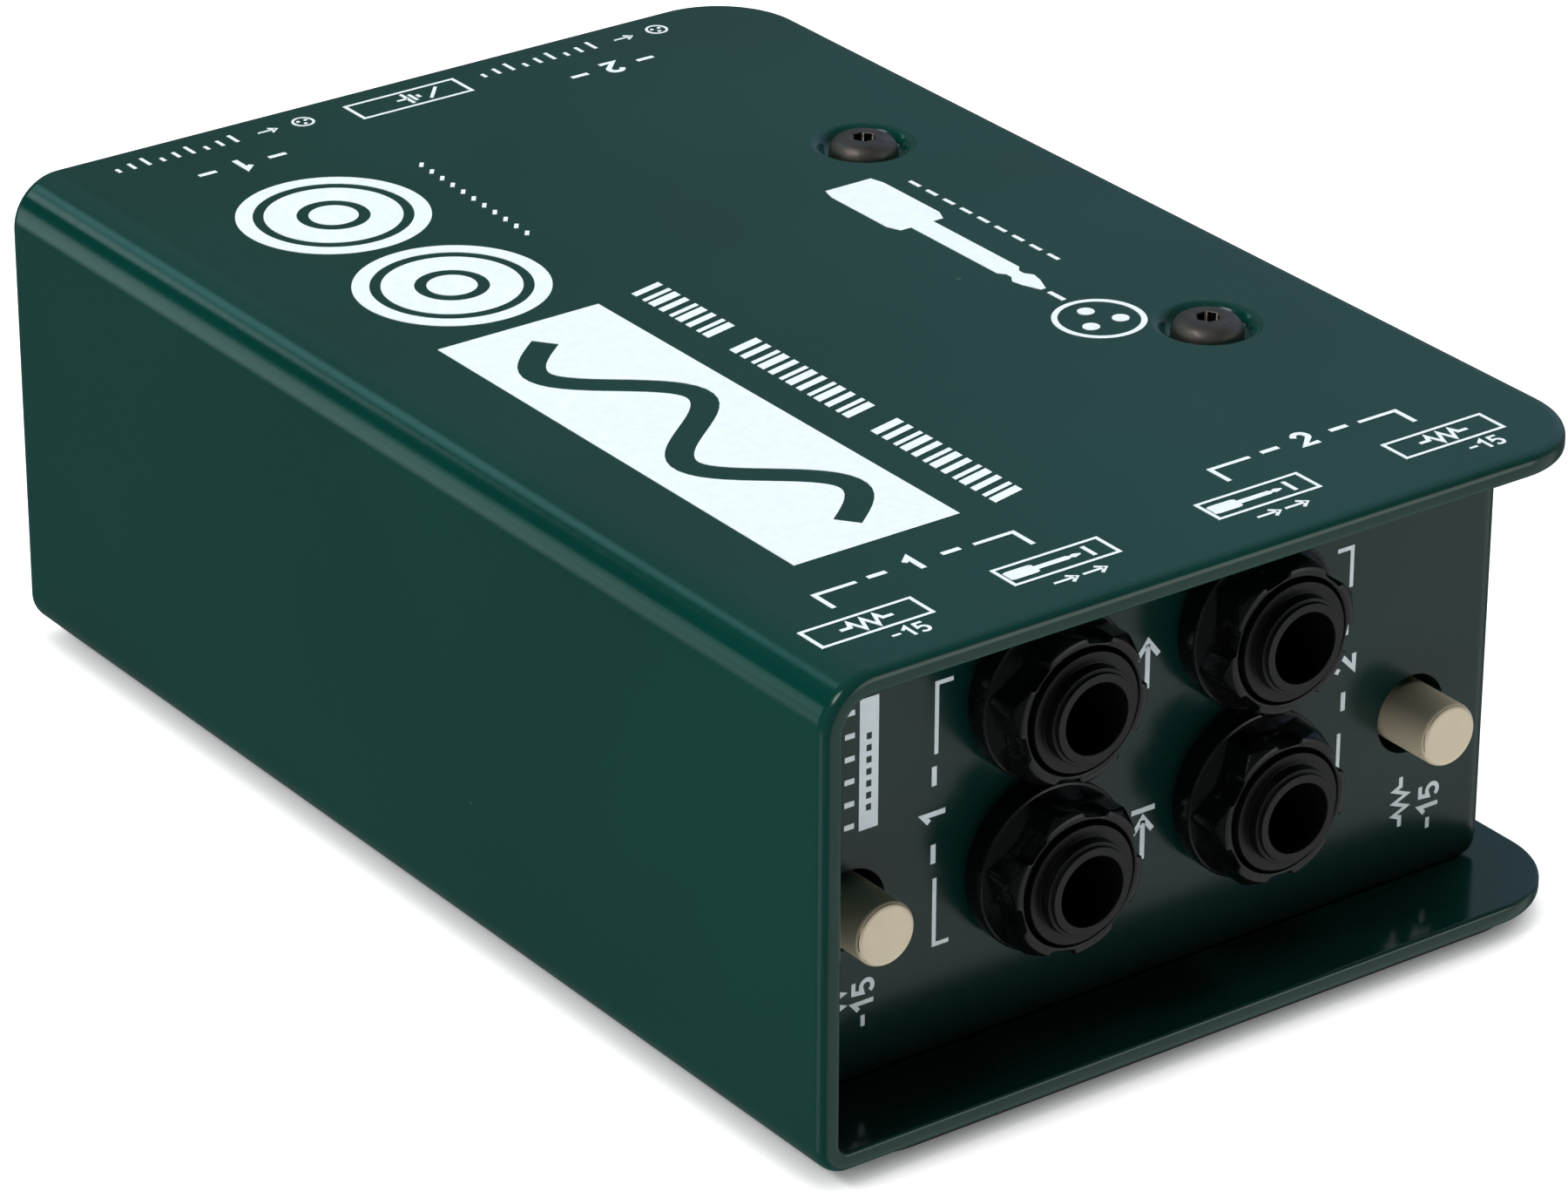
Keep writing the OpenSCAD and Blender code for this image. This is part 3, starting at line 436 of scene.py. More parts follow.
def build_shell():
    """The bent sheet: two plates and a wall, with paint-rounded edges and a dimple round each screw."""
    x0, x1 = shell_lo.x - COAT / 2, shell_hi.x + COAT
    y0, y1 = shell_lo.y - COAT, shell_hi.y + COAT
    z0, z1 = shell_lo.z, TOP
    bend_n, arc_n = 14, 18
    loop = []                    # (outer point, inner point, direction into the sheet)

    def plate(z_out, z_in, points):
        for x, y, n in points:
            loop.append((Vector((x, y, z_out)), Vector((x, y, z_in)), Vector((n[0], n[1], 0))))

    def corners(bend, reverse):
        pts = [(x0 + bend, y0, (0, 1))]
        for cy, a0 in ((y0 + CORNER, -90), (y1 - CORNER, 0)):
            for i in range(arc_n + 1):
                a = math.radians(a0 + 90 * i / arc_n)
                pts.append((x1 - CORNER + CORNER * math.cos(a), cy + CORNER * math.sin(a),
                            (-math.cos(a), -math.sin(a))))
        pts.append((x0 + bend, y1, (0, -1)))
        return pts[::-1] if reverse else pts

    def stations(y, n_y, downward):
        """Round the two bends and the wall along one end of the sheet."""
        out = []
        for bend, cz, a0 in ((BEND_TOP, z1 - BEND_TOP, 90), (BEND_LOW, z0 + BEND_LOW, 180)):
            for i in range(bend_n + 1):
                a = math.radians(a0 + 90 * i / bend_n)
                c = Vector((x0 + bend, y, cz))
                d = Vector((math.cos(a), 0, math.sin(a)))
                out.append((c + d * bend, c + d * (bend - WALL), Vector((0, n_y, 0))))
        return out if downward else out[::-1]

    plate(z1, z1 - WALL, corners(BEND_TOP, False))
    n_top = len(loop)
    loop += stations(y1, -1, True)[1:-1]
    n_rear = len(loop)
    plate(z0, z0 + WALL, corners(BEND_LOW, True))
    n_bottom = len(loop)
    loop += stations(y0, 1, False)[1:-1]
    n = len(loop)

    verts, faces, rings = [], [], []
    for d, t in SHEARED:
        rings.append(list(range(len(verts), len(verts) + n)))
        for outer, inner, inward in loop:
            verts.append(tuple(outer.lerp(inner, t / WALL) + inward * d))
    for a, b in zip(rings, rings[1:]):
        faces += [(a[i], b[i], b[(i + 1) % n], a[(i + 1) % n]) for i in range(n)]

    # the screw places: rings from the outer face down to the inner face
    sides = 64
    holes = {True: [], False: []}
    for top in (True, False):
        for cx, cy in SCREWS:
            hr = []
            for r, t in DIMPLE:
                z = z1 - t if top else z0 + t
                hr.append(list(range(len(verts), len(verts) + sides)))
                verts += [(x, y, z) for x, y in circle_points(cx, cy, r, sides)]
            for a, b in zip(hr, hr[1:]):
                quad = [(a[i], a[(i + 1) % sides], b[(i + 1) % sides], b[i]) for i in range(sides)]
                faces += quad if top else [q[::-1] for q in quad]
            holes[top].append((hr[0], hr[-1]))

    for ring, side, flip in ((rings[0], 0, 1), (rings[-1], 1, -1)):
        top_loop = ring[0:n_top]
        bottom_loop = ring[n_rear:n_bottom]
        faces += fill([top_loop] + [h[side] for h in holes[True]], verts, Vector((0, 0, flip)))
        faces += fill([bottom_loop] + [h[side] for h in holes[False]], verts, Vector((0, 0, -flip)))
        rear = [ring[n_top - 1]] + ring[n_top:n_rear] + [ring[n_rear]]
        front = [ring[0]] + ring[n_bottom:n][::-1] + [ring[n_bottom - 1]]
        for k in range(len(rear) - 1):
            quad = (rear[k], front[k], front[k + 1], rear[k + 1])
            faces.append(quad[::-1] if flip > 0 else quad)
    return verts, faces


v, f = build_shell()
piece("outer_shell_enamelled", v, f, "shell", replaces=["outer_shell"])


CROWN = shell_hi.z + 0.8         # top of a screw's head
SEAT = TOP - SINK                # its seat in the dimple


def screw_mesh():
    """A button-head screw: hexagon socket, domed head down to its seat, shank."""
    rise = CROWN - SEAT - 0.4
    dome = [(1.75 + 1.55 * math.sin(math.radians(10 * i)), SEAT + 0.4 + rise * math.cos(math.radians(10 * i)))
            for i in range(10)]
    hollow = [(0, CROWN - 1.5), (1.0, CROWN - 1.5), (1.0, CROWN - 0.06), (1.2, CROWN)]
    shank = [(3.28, SEAT + 0.08), (3.2, SEAT), (1.85, SEAT - 0.02), (1.85, SEAT - 4.9), (1.5, SEAT - 5.3),
             (0, SEAT - 5.3)]

    def socket_wall(a, r, z):
        return r / math.cos(a % (math.pi / 3) - math.pi / 6) if r < 1.3 else r

    return lathe(hollow + dome + shank, 96, socket_wall)


v, f = join(*[moved(screw_mesh(), Matrix.Translation((x, y, 0))) for x, y in SCREWS])
screws = piece("top_screws_plated", v, f, "bronze", replaces=["top_screws"])
# faces inside each hexagon socket take the near-black finish: painted shade in the socket
screws.data.materials.append(MAT["socket"])
for poly in screws.data.polygons:
    at = poly.center / MM
    if at.z < CROWN - 0.05 and any(math.hypot(at.x - x, at.y - y) < 1.08 for x, y in SCREWS):
        poly.material_index = 1


# ---------------------------------------------------------------- jack nuts

NUT_FRONT = 6.3                  # a nut's front over the panel
SECTOR = (-30, -27, -23, -18, -14)    # angles of its columns from a corner towards the middle of a flat


def nut_mesh(turn, face, pip):
    """A flanged hex nut, chamfered to a circle in front, a notch in the middle of every flat."""
    seat, flange = 0.9, 1.75
    half = math.degrees(math.asin(1.2 / 6.3))
    rel = list(SECTOR) + [-half - 0.3, -half + 0.3, -half / 2, 0, half / 2, half - 0.3, half + 0.3] \
        + [-a for a in SECTOR[:0:-1]]
    cols = [(turn + 60 * k + a, a) for k in range(6) for a in rel]

    def flank(a):
        r = 6.5 / math.cos(math.radians(a))
        return r - max(0, r - 7.3) * 0.45

    def notched(a):
        return 6.1 / math.cos(math.radians(a)) if abs(a) < half else flank(a)

    top = seat + flange

    def skirt(a):
        return top + 0.05 + max(0, 7.42 - flank(a))

    rings = [
        lambda a: (5.5, seat), lambda a: (5.5, face - 0.75), lambda a: (5.78, face - 0.12),
        lambda a: (5.86, face - 0.03), lambda a: (5.95, face),
        lambda a: (min(6.62, notched(a) - 0.06), face),
        lambda a: (min(6.7, notched(a)), face - 0.07),
        lambda a: (notched(a), face - max(0.15, notched(a) - 6.62)),
        lambda a: (notched(a), face - max(0.26, notched(a) - 6.50)),
        lambda a: (notched(a), face - 1.66), lambda a: (flank(a), face - 1.72),
        lambda a: (flank(a), skirt(a) + 0.1), lambda a: (flank(a) + 0.03, skirt(a)),
        lambda a: (max(flank(a) + 0.04, 7.42), top + 0.05), lambda a: (7.5, top),
        lambda a: (7.66, top - 0.02), lambda a: (7.73, top - 0.08), lambda a: (7.75, top - 0.2),
        lambda a: (7.75, seat + 0.12), lambda a: (7.65, seat + 0.01), lambda a: (7.5, seat),
    ]
    verts, faces = [], []
    n = len(cols)
    for ring in rings:
        for angle, a in cols:
            r, z = ring(a)
            t = math.radians(angle)
            verts.append((r * math.cos(t), r * math.sin(t), z))
    for k in range(len(rings)):
        a, b = k * n, ((k + 1) % len(rings)) * n
        faces += [(a + i, b + i, b + (i + 1) % n, a + (i + 1) % n) for i in range(n)]
    # the ring left by the ejector on one flat
    ring = lathe([(0.42, -0.1), (0.42, 0.03), (0.47, 0.06), (0.56, 0.06), (0.6, 0.03), (0.6, -0.1)], 20)
    t = math.radians(turn + 60 * pip)
    m = Matrix.Rotation(t, 4, "Z") @ Matrix.Translation((6.5, 0, top + 1.15)) @ Matrix.Rotation(math.pi / 2, 4, "Y")
    return join((verts, faces), moved(ring, m))


for node, turn, pip in (("input_nut_left", 16, 2), ("input_nut_right", 28.6, 1),
                        ("thru_nut_left", 17, 2), ("thru_nut_right", 47, 1)):
    c = middle(node)
    v, f = nut_mesh(turn, NUT_FRONT, pip)
    piece(node + "_moulded", v, f, "nut", replaces=[node], matrix=on_front(c.x, c.z))


# ---------------------------------------------------------------- return springs

WIRE = 0.2                       # radius of the wire


def helix(length, coil_r, wire_r, turns=5, around=10, steps=28):
    """Round wire wound along Z from zero to length, with capped ends."""
    verts, faces = [], []
    n = turns * steps
    pitch = (length - 2 * wire_r) / turns
    slope = math.atan2(pitch, 2 * math.pi * coil_r)
    for i in range(n + 1):
        a = 2 * math.pi * i / steps
        out = Vector((math.cos(a), math.sin(a), 0))
        along = Vector((-math.sin(a) * math.cos(slope), math.cos(a) * math.cos(slope), math.sin(slope)))
        side = along.cross(out)
        centre = out * coil_r + Vector((0, 0, wire_r + pitch * i / steps))
        for k in range(around):
            b = 2 * math.pi * k / around
            verts.append(tuple(centre + (out * math.cos(b) + side * math.sin(b)) * wire_r))
    for i in range(n):
        for k in range(around):
            j = (k + 1) % around
            faces.append((i * around + k, i * around + j, (i + 1) * around + j, (i + 1) * around + k))
    faces.append(tuple(range(around))[::-1])
    faces.append(tuple(range(n * around, (n + 1) * around)))
    return verts, faces


for node, joint, place in (("pad_spring_left", "pad_button_left_press", on_front),
                           ("pad_spring_right", "pad_button_right_press", on_front),
                           ("lift_spring", "lift_button_press", on_rear)):
    lo, hi = extent(node)
    length = hi.y - lo.y
    v, f = helix(length, (hi.x - lo.x) / 2 - WIRE, WIRE)
    inner = hi.y if place is on_front else lo.y
    m = place((lo.x + hi.x) / 2, (lo.z + hi.z) / 2) @ Matrix.Translation((0, 0, abs(inner) - PANEL))
    spring = piece(node + "_wire", v, f, "wire", replaces=[node], matrix=m)
    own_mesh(spring)


# ---------------------------------------------------------------- printed marks

INK_H, INK_D = 0.05, 0.03        # the ink's height over the enamel, and how far it reaches into it


def area(loop):
    return sum(a[0] * b[1] - b[0] * a[1] for a, b in zip(loop, loop[1:] + loop[:1])) / 2


def plate_of(outer, holes=()):
    """A thin solid over an outline with holes."""
    verts, faces, tops, bottoms = [], [], [], []
    loops = [outer if area(outer) > 0 else outer[::-1]] + [h if area(h) < 0 else h[::-1] for h in holes]
    for loop in loops:
        n = len(loop)
        t = list(range(len(verts), len(verts) + n))
        verts += [(x, y, INK_H) for x, y in loop]
        b = list(range(len(verts), len(verts) + n))
        verts += [(x, y, -INK_D) for x, y in loop]
        faces += [(b[i], b[(i + 1) % n], t[(i + 1) % n], t[i]) for i in range(n)]
        tops.append(t)
        bottoms.append(b)
    faces += fill(tops, verts, Vector((0, 0, 1)))
    faces += fill(bottoms, verts, Vector((0, 0, -1)))
    return verts, faces


def sides_of(points, width, closed):
    """The two edges of a line of a given width, mitred at its corners."""
    n = len(points)
    left, right = [], []
    for i, p in enumerate(points):
        p = Vector(p)
        prev = Vector(points[i - 1]) if closed or i else None
        nxt = Vector(points[(i + 1) % n]) if closed or i < n - 1 else None
        dirs = [d.normalized() for d in ((p - prev) if prev is not None else None,
                                         (nxt - p) if nxt is not None else None) if d is not None]
        normals = [Vector((-d.y, d.x)) for d in dirs]
        m = normals[0]
        if len(normals) == 2:
            m = (m + normals[1]) / max(0.35, 1 + m.dot(normals[1]))
        left.append(tuple(p + m * width / 2))
        right.append(tuple(p - m * width / 2))
    return left, right


def line(points, width):
    left, right = sides_of(points, width, False)
    return plate_of(left + right[::-1])


def loop_line(points, width):
    left, right = sides_of(points, width, True)
    a, b = (left, right) if abs(area(left)) > abs(area(right)) else (right, left)
    return plate_of(a, [b])


def turned(points, x, y, angle=0, scale=1.0):
    """Points scaled, turned by an angle in degrees and set at (x, y)."""
    c, s = math.cos(math.radians(angle)), math.sin(math.radians(angle))
    return [(x + scale * (c * px - s * py), y + scale * (s * px + c * py)) for px, py in points]


def oval(x, y, r, n=48, a0=0, a1=360):
    """A circle, or an arc from a0 to a1 degrees."""
    m = n if a1 - a0 == 360 else n + 1
    return [(x + r * math.cos(math.radians(a0 + (a1 - a0) * i / n)),
             y + r * math.sin(math.radians(a0 + (a1 - a0) * i / n))) for i in range(m)]


def rect(x0, y0, x1, y1):
    return [(x0, y0), (x1, y0), (x1, y1), (x0, y1)]


ONE = [[(-0.24, 0.20), (0.06, 0.46), (0.06, -0.5)]]
TWO = [[(-0.28, 0.24)] + oval(0, 0.20, 0.27, 12, 165, -35) + [(-0.30, -0.44), (0.32, -0.44)]]
FIVE = [[(0.26, 0.45), (-0.20, 0.45), (-0.24, 0.03)] + oval(-0.02, -0.18, 0.27, 12, 115, -145)]
MINUS = [[(-0.24, 0.0), (0.24, 0.0)]]
ARROW = [[(-1.3, 0), (0.9, 0)], [(0.25, 0.62), (1.05, 0), (0.25, -0.62)]]
ENTER = ARROW + [[(1.5, 0.75), (1.5, -0.75)]]
ZIGZAG = [[(-2.4, 0), (-1.5, 0), (-1.2, 0.75), (-0.6, -0.75), (0, 0.75), (0.6, -0.75), (1.2, 0.75), (1.5, 0),
           (2.4, 0)]]
GROUND = [[(0, 1.1), (0, 0.1)], [(-1.1, 0.1), (1.1, 0.1)], [(-0.7, -0.45), (0.7, -0.45)], [(-0.3, -1.0), (0.3, -1.0)]]


def glyph(strokes, x, y, size, width, angle=0):
    return join(*[line(turned(st, x, y, angle, size), width) for st in strokes])


def channel(number, x, y, size, width, angle=0, gap=1.15, dash=0.75):
    """A numeral between two short dashes."""
    out = [glyph(number, x, y, size, width, angle)]
    for k in (-1, 1):
        out.append(line(turned([(k * gap, 0), (k * (gap + dash), 0)], x, y, angle, size), width))
    return join(*out)


def minus_fifteen(x, y, size, width, angle=0):
    out = []
    for k, strokes in ((-0.85, MINUS), (-0.12, ONE), (0.62, FIVE)):
        cx, cy = turned([(k, 0)], x, y, angle, size)[0]
        out.append(glyph(strokes, cx, cy, size, width, angle))
    return join(*out)


def plug(x, y, angle, k):
    """Side view of a phone plug, tip towards +X."""
    body = [(-15, -2.6), (-13.5, -3), (-5, -3), (-3.6, -2.4), (-3.6, -1.25), (9.2, -1.25), (9.9, -0.7), (10.6, -0.7),
            (11.4, -1.25), (12.6, -1.0), (14.4, -0.25)]
    body += [(px, -py) for px, py in body[::-1]]
    return plate_of(turned(body, x, y, angle, k))


def socket(x, y, r, width, turn=0):
    """Front view of a three-contact connector."""
    out = [loop_line(oval(x, y, r), width)]
    for a in (90, 210, 330):
        px, py = turned([(r * 0.48, 0)], x, y, a + turn)[0]
        out.append(plate_of(oval(px, py, r * 0.2, 16)))
    return join(*out)


def top_marks():
    """The top plate's print: X from the wall, Y from the front edge."""
    out = []
    add = out.append
    for x0, x1 in ((3.9, 15.3), (23.4, 34.6), (44.9, 56.1), (65.4, 76.6)):
        add(loop_line(rect(x0 + 0.17, 5.57, x1 - 0.17, 8.75), 0.34))
    for x in (9.6, 71.0):
        add(glyph(ZIGZAG, x, 7.15, 1.1, 0.42))
        add(minus_fifteen(x + 2.1, 3.95, 1.75, 0.3))
    for x in (29.0, 50.5):
        add(plug(x - 1.2, 7.15, 0, 0.26))
        add(line([(x + 3.4, 6.2), (x + 3.4, 8.1)], 0.4))
        add(glyph(ARROW, x + 1.6, 3.95, 1.0, 0.32))
        add(glyph(ARROW, x - 1.4, 3.95, 1.0, 0.32))
    for pts in ([(9.05, 10.8), (9.05, 13.6), (13.3, 13.6)], [(25.4, 13.6), (29.5, 13.6), (29.5, 10.8)],
                [(50.45, 10.8), (50.45, 13.5), (54.8, 13.5)], [(66.9, 13.5), (71.0, 13.5), (71.0, 10.8)]):
        add(line(pts, 0.45))
    add(channel(ONE, 19.3, 13.7, 2.5, 0.55))
    add(channel(TWO, 60.9, 13.6, 2.5, 0.55))
    # the long plate with a wave knocked out, and two loudspeakers beyond it
    wave = [(19.55 + 4.6 * math.sin(math.pi * (i / 60) * 4), 23.2 + 44.6 * i / 60) for i in range(61)]
    left, right = sides_of(wave, 2.5, False)
    add(plate_of(rect(11.0, 19.0, 28.1, 72.0), [left + right[::-1]]))
    for y in (83.0, 102.6):
        add(plate_of(oval(19.8, y, 9.0, 96), [oval(19.8, y, 7.4, 96)]))
        add(plate_of(oval(19.8, y, 6.4, 96), [oval(19.8, y, 3.4, 64)]))
        add(plate_of(oval(19.8, y, 2.3)))
    # a slanted scale beside it
    y = 18.9
    for i in range(39):
        w = (1.0, 0.55, 0.8)[i % 3]
        if i not in (13, 14, 28, 29):
            add(plate_of([(31.8, y), (35.2, y + 0.75), (35.2, y + 0.75 + w), (31.8, y + w)]))
        y += 1.38
    for i in range(11):
        add(line([(31.6 + 0.1 * i, 88.5 + 1.9 * i), (32.2 + 0.1 * i, 89.3 + 1.9 * i)], 0.4))
    # between the screws: a connector seen from the front and a plug on its way to it
    add(socket(62.4, 43.6, 4.0, 0.55))
    add(line([(62.4, 48.6), (62.4, 50.8)], 0.5))
    add(plug(62.4, 66.0, -90, 1.0))
    for i in range(9):
        add(line([(67.6, 56.0 + 2.6 * i), (67.6, 57.6 + 2.6 * i)], 0.4))
    # the rear row, read from behind
    add(loop_line(rect(34.8, 120.5, 47.0, 124.0), 0.34))
    add(glyph(GROUND, 40.9, 122.3, 1.15, 0.34, 90))
    add(line([(42.8, 121.2), (44.6, 123.3)], 0.34))
    for x0, number, nx in ((8.2, ONE, 19.4), (49.0, TWO, 61.3)):
        add(socket(x0 + 21.4, 123.2, 1.0, 0.25, 180))
        add(glyph(ARROW, x0 + 17.5, 123.2, 0.85, 0.28))
        for i in range(9):
            add(line([(x0 + 1.0 + 1.6 * i, 122.5), (x0 + 1.0 + 1.6 * i, 123.4 + 0.5 * (i % 3))], 0.36))
        add(channel(number, nx, 117.6, 2.5, 0.55, 180))
    return join(*out)


def panel_marks():
    """The front panel's print: X from the wall, Y up from the floor."""
    out = []
    add = out.append
    for pts in ([(20.1, 38.25), (18.42, 38.25), (18.42, 31.7)], [(18.45, 20.0), (18.45, 13.7), (20.0, 13.7)],
                [(61.4, 38.1), (63.05, 38.1), (63.05, 34.3)], [(62.4, 20.3), (62.4, 13.7), (60.9, 13.7)]):
        add(line(pts, 0.4))
    add(channel(ONE, 18.25, 26.0, 2.4, 0.5, 90))
    add(channel(TWO, 62.7, 27.0, 2.4, 0.5, 90))
    ticks = [rect(11.2, 28.6 + 1.1 * i, 11.75, 29.2 + 1.1 * i) for i in range(7)]
    add(plate_of(rect(10.5, 26.9, 12.45, 39.05), ticks))
    for i in range(6):
        add(line([(9.0, 27.6 + 2.1 * i), (10.0, 27.6 + 2.1 * i)], 0.5))
    add(glyph(ARROW, 40.7, 33.6, 1.9, 0.5, 90))
    add(glyph(ENTER, 40.7, 17.0, 1.7, 0.5, 90))
    add(glyph(ZIGZAG, 69.9, 11.3, 1.02, 0.42, 90))
    add(minus_fifteen(73.2, 10.1, 2.2, 0.42, 90))
    add(minus_fifteen(11.1, 10.7, 2.2, 0.42, 90))
    add(glyph(ZIGZAG, 8.3, 11.4, 1.02, 0.42, 90))
    return join(*out)


v, f = top_marks()
piece("top_print", v, f, "white", smooth=False,
      matrix=Matrix.Translation((shell_lo.x, shell_lo.y, TOP)))
v, f = panel_marks()
piece("panel_print", v, f, "white", smooth=False,
      matrix=Matrix.Translation((shell_lo.x, -PANEL, 0)) @ Matrix.Rotation(math.pi / 2, 4, "X"))


# ---------------------------------------------------------------- camera, floor, light

CAM_TURN, CAM_TILT, CAM_ROLL = -36.16, 26.29, 0.27    # degrees
CAM_PLACE = (-328.9, -451.4, 293.4)
CAM_LENS = 157.18


def aim_camera():
    """The camera of the photograph."""
    a, e, roll = (math.radians(d) for d in (CAM_TURN, CAM_TILT, CAM_ROLL))
    right = Vector((math.cos(a), math.sin(a), 0))
    back = Vector((math.sin(a) * math.cos(e), -math.cos(a) * math.cos(e), math.sin(e)))
    up = back.cross(right)
    r = right * math.cos(roll) + up * math.sin(roll)
    u = up * math.cos(roll) - right * math.sin(roll)
    m = Matrix((r, u, back)).transposed().to_4x4()
    m.translation = Vector(CAM_PLACE) * MM
    data = bpy.data.cameras.new("camera")
    data.sensor_width = 36
    data.lens = CAM_LENS
    data.clip_start = 0.05
    data.clip_end = 20
    cam = bpy.data.objects.new("camera", data)
    bpy.context.scene.collection.objects.link(cam)
    cam.matrix_world = m
    bpy.context.scene.camera = cam


aim_camera()


def build_floor():
    """White sweep that glows by its own emission, overexposed a little; ambient occlusion cuts the glow, a painted
    contact shadow only where the box nearly touches it.
    """
    m, ns, ls, p = shader("floor_paper", Specular_IOR_Level=0.1)
    fleck = noise(ns, ls, coords(ns, ls, 0.02), detail=2)
    ls.new(ramp(ns, ls, fleck, [(0.3, (0.49, 0.495, 0.50)), (0.7, (0.51, 0.51, 0.515))]), p.inputs["Base Color"])
    p.inputs["Roughness"].default_value = 0.9
    contact_shadow_ao = ns.new("ShaderNodeAmbientOcclusion")
    contact_shadow_ao.inputs["Distance"].default_value = 5 * MM    # how close the box casts the painted contact shadow
    # the floor's glow, dimmed by ambient occlusion near the box: painted contact shadow
    p.inputs["Emission Color"].default_value = (1, 1, 1, 1)
    ls.new(remap(ns, ls, contact_shadow_ao.outputs["AO"], 0, 0.95, 0, 0.8), p.inputs["Emission Strength"])
    me = bpy.data.meshes.new("floor")
    reach = 6.0                  # metres each way
    me.from_pydata([(-reach, -reach, 0), (reach, -reach, 0), (reach, reach, 0), (-reach, reach, 0)],
                   [], [(0, 1, 2, 3)])
    me.materials.append(m)
    ob = bpy.data.objects.new("floor", me)
    bpy.context.scene.collection.objects.link(ob)
    ob.visible_glossy = False


build_floor()


def lamp(name, place, size, energy):
    """A strip light aimed at the middle of the box; the enamel mirrors the world's cards instead."""
    data = bpy.data.lights.new(name, "AREA")
    data.shape = "RECTANGLE"
    data.size, data.size_y = size
    data.energy = energy
    ob = bpy.data.objects.new(name, data)
    bpy.context.scene.collection.objects.link(ob)
    ob.location = place
    ob.rotation_euler = (Vector((0, 0, 0.02)) - Vector(place)).to_track_quat("-Z", "Y").to_euler()
    ob.visible_glossy = False


# narrow from front to back, so none of them looks into the recess in front of the panel
lamp("left_strip", (-1.05, 0.17, 1.0), (0.9, 0.25), 15)
lamp("top_strip", (0, 0.16, 1.4), (1.0, 0.25), 11)
lamp("right_strip", (1.0, 0.14, 1.0), (0.9, 0.22), 4.5)


def build_world():
    """What the enamel mirrors: a dim surround with soft cards, by direction only."""
    w = bpy.data.worlds.new("studio")
    bpy.context.scene.world = w
    w.use_nodes = True
    w.cycles_visibility.diffuse = False
    ns, ls = w.node_tree.nodes, w.node_tree.links
    ns.clear()
    out = ns.new("ShaderNodeOutputWorld")
    bg = ns.new("ShaderNodeBackground")
    ls.new(bg.outputs[0], out.inputs[0])
    tc = ns.new("ShaderNodeTexCoord")

    def vector_math(kind, a, b):
        node = ns.new("ShaderNodeVectorMath")
        node.operation = kind
        for sock, value in zip(node.inputs, (a, b)):
            if isinstance(value, tuple):
                sock.default_value = value
            else:
                ls.new(value, sock)
        return node

    dim = (0.095, 0.105, 0.107)
    cards = [  # direction, inner and outer angle in degrees, colour
        ((-0.60, 0.72, 0.35), 19, 27, tuple(-c for c in dim)),    # black flag over the back left
        ((0.60, -0.66, -0.443), 24, 48, (0.44, 0.44, 0.44)),      # paper in front of the right corner
        ((-0.57, 0.82, -0.01), 3, 13.5, (0.88, 1.2, 1.17)),       # low card behind the left wall
        ((-0.665, 0.70, 0.19), 2, 8, (0.48, 0.8, 0.7)),           # its near end, higher
        ((-0.355, 0.82, 0.455), 2, 6.5, (1.15, 1.6, 1.62)),       # narrow strip high behind
        ((-0.22, 0.775, 0.59), 1, 8, (0.44, 1.08, 1.10)),         # and its dimmer end
        ((0.08, 0.72, 0.69), 12, 30, (0.09, 0.12, 0.15)),         # what leads up to it
        ((0.52, -0.84, 0.05), 5, 19, (1.2, 1.3, 1.25)),           # window far in front
        ((-0.65, 0.02, 0.76), 5, 15, (5.0, 5.0, 5.0)),            # the left strip itself
        ((-0.88, 0.12, -0.443), 8, 20, (0.4, 0.4, 0.4)),          # paper on the left
        ((0.845, 0.307, 0.438), 8, 40, (0.17, 0.24, 0.36)),       # dim return on the right
    ]
    total = dim
    for d, inner, outer, colour in cards:
        dot = vector_math("DOT_PRODUCT", tc.outputs["Generated"], tuple(Vector(d).normalized()))
        mr = ns.new("ShaderNodeMapRange")
        mr.interpolation_type = "SMOOTHSTEP"
        mr.inputs["From Min"].default_value = math.cos(math.radians(outer))
        mr.inputs["From Max"].default_value = math.cos(math.radians(inner))
        ls.new(dot.outputs["Value"], mr.inputs["Value"])
        part = vector_math("MULTIPLY", mr.outputs["Result"], colour)
        total = vector_math("ADD", part.outputs[0], total).outputs[0]
    ls.new(total, bg.inputs["Color"])


build_world()
bpy.context.scene.view_settings.view_transform = "Standard"
bpy.context.scene.view_settings.look = "None"


# ---------------------------------------------------------------- finishes of the CAD nodes

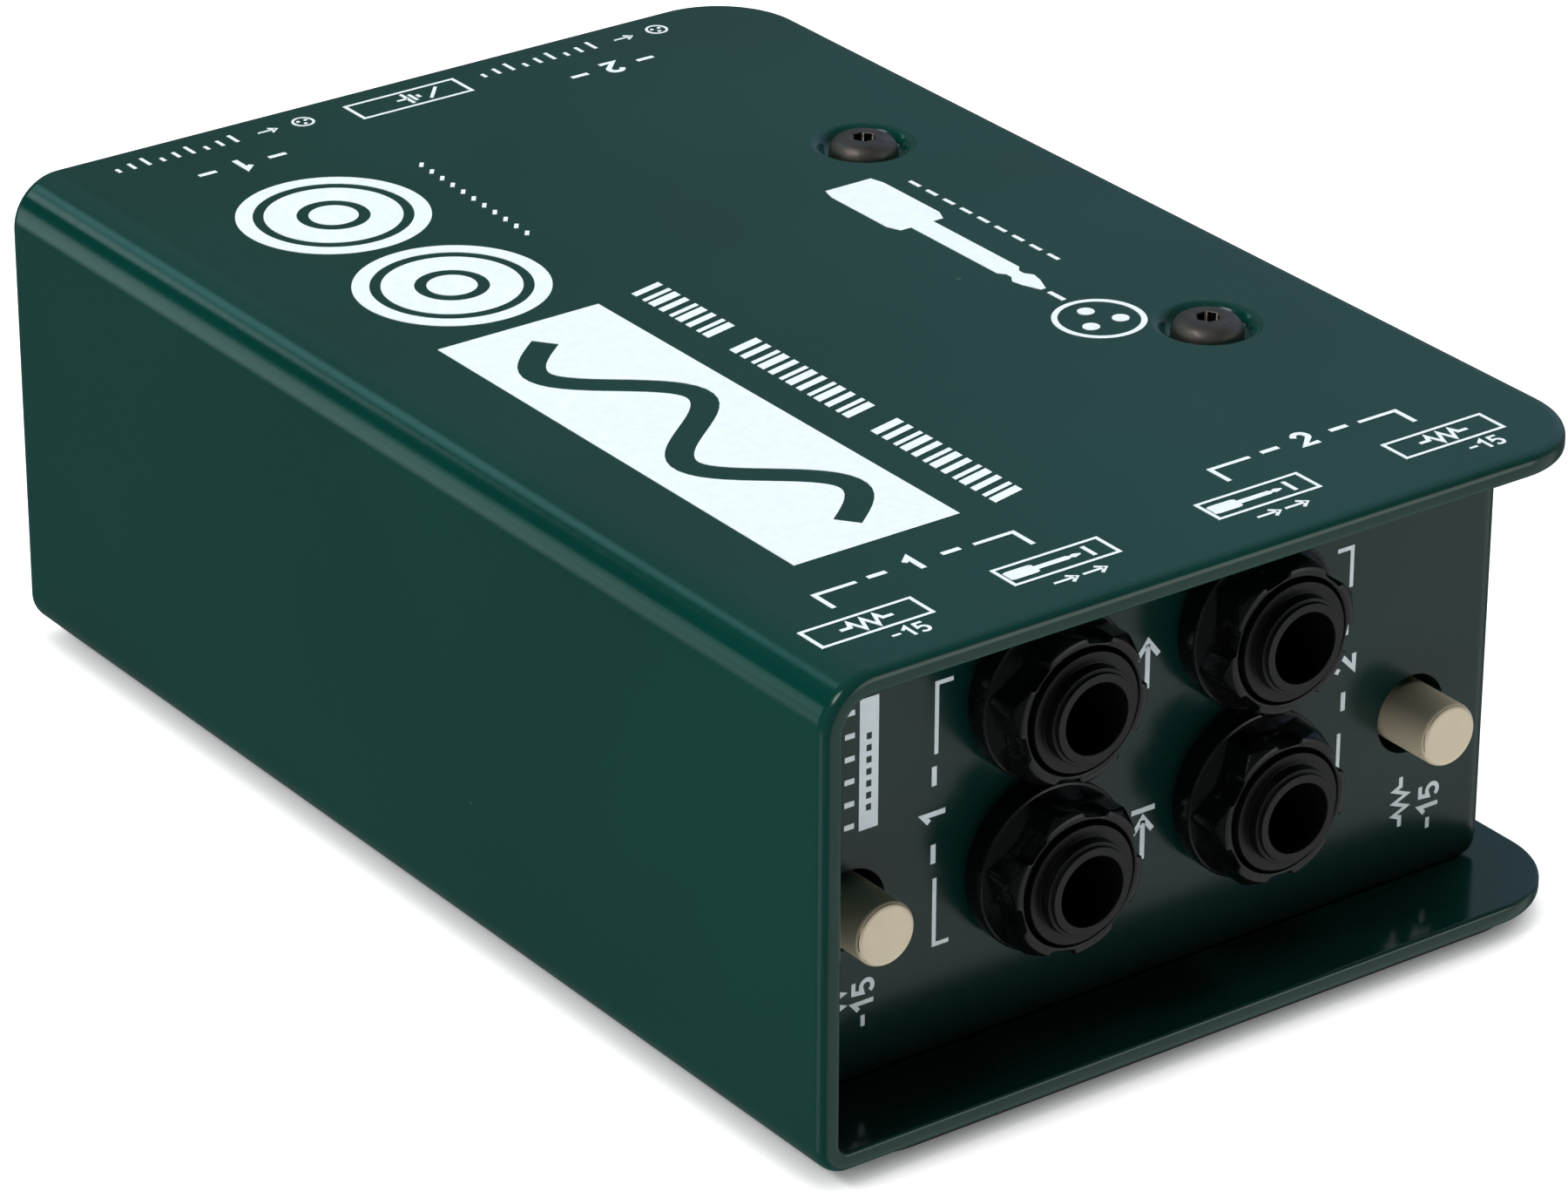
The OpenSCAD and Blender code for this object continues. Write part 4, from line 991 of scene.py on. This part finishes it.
finish = {
    "inner_chassis": "chassis", "non_slip_pad": "foam",
    "bottom_screws": "bronze", "clinch_nuts": "zinc",
    "jack_washers": "washer", "switch_terminals": "tin",
    "input_board": "board", "output_board": "board", "board_standoffs": "nickel", "board_screws": "zinc",
    "xlr_screws": "black_screw", "pad_resistors": "resistor", "filter_capacitors": "capacitor",
    "board_headers": "header", "board_ribbon": "ribbon",
}
for name in nodes:
    for start, mat in (("input_jack", "jack"), ("thru_jack", "jack"),
                       ("input_contacts", "tin"), ("thru_contacts", "tin"),
                       ("pad_switch", "switch"), ("lift_switch", "switch"),
                       ("pad_cap", "cap"), ("lift_cap", "cap"),
                       ("pad_plunger", "plunger"), ("lift_plunger", "plunger"),
                       ("transformer_can", "can"), ("transformer_core", "core"), ("transformer_coil", "coil"),
                       ("xlr_shell", "connector"), ("xlr_insert", "insert"), ("xlr_pins", "silver")):
        if name.startswith(start):
            finish[name] = mat
# width of the rounded edges; 0.08 where no name matches
SOFT = {"inner_chassis": 0.22, "non_slip_pad": 0.25, "bottom_screws": 0.15, "jack": 0.09,
        "pad_cap": 0.28, "lift_cap": 0.28, "xlr_shell": 0.25, "transformer_can": 0.5, "transformer_core": 0.12,
        "xlr_screws": 0.12, "switch": 0.15, "header": 0.15, "board_standoffs": 0.12, "board_screws": 0.12}


def soften(ob, width):
    """Small rounded edges and even shading on a CAD mesh."""
    weld = ob.modifiers.new("weld", "WELD")
    weld.merge_threshold = 0.0005 * MM
    flat = ob.modifiers.new("flat", "DECIMATE")
    flat.decimate_type = "DISSOLVE"
    flat.angle_limit = math.radians(0.5)
    b = ob.modifiers.new("round", "BEVEL")
    b.width = width * MM
    b.segments = 3
    b.limit_method = "ANGLE"
    b.angle_limit = math.radians(35)
    w = ob.modifiers.new("weighted", "WEIGHTED_NORMAL")
    w.weight = 80


for name, mat in finish.items():
    ob = nodes[name]
    ob.data.materials.clear()
    ob.data.materials.append(MAT[mat])
    ob.data.polygons.foreach_set("use_smooth", [True] * len(ob.data.polygons))
    soften(ob, max([w for key, w in SOFT.items() if key in name], default=0.08))
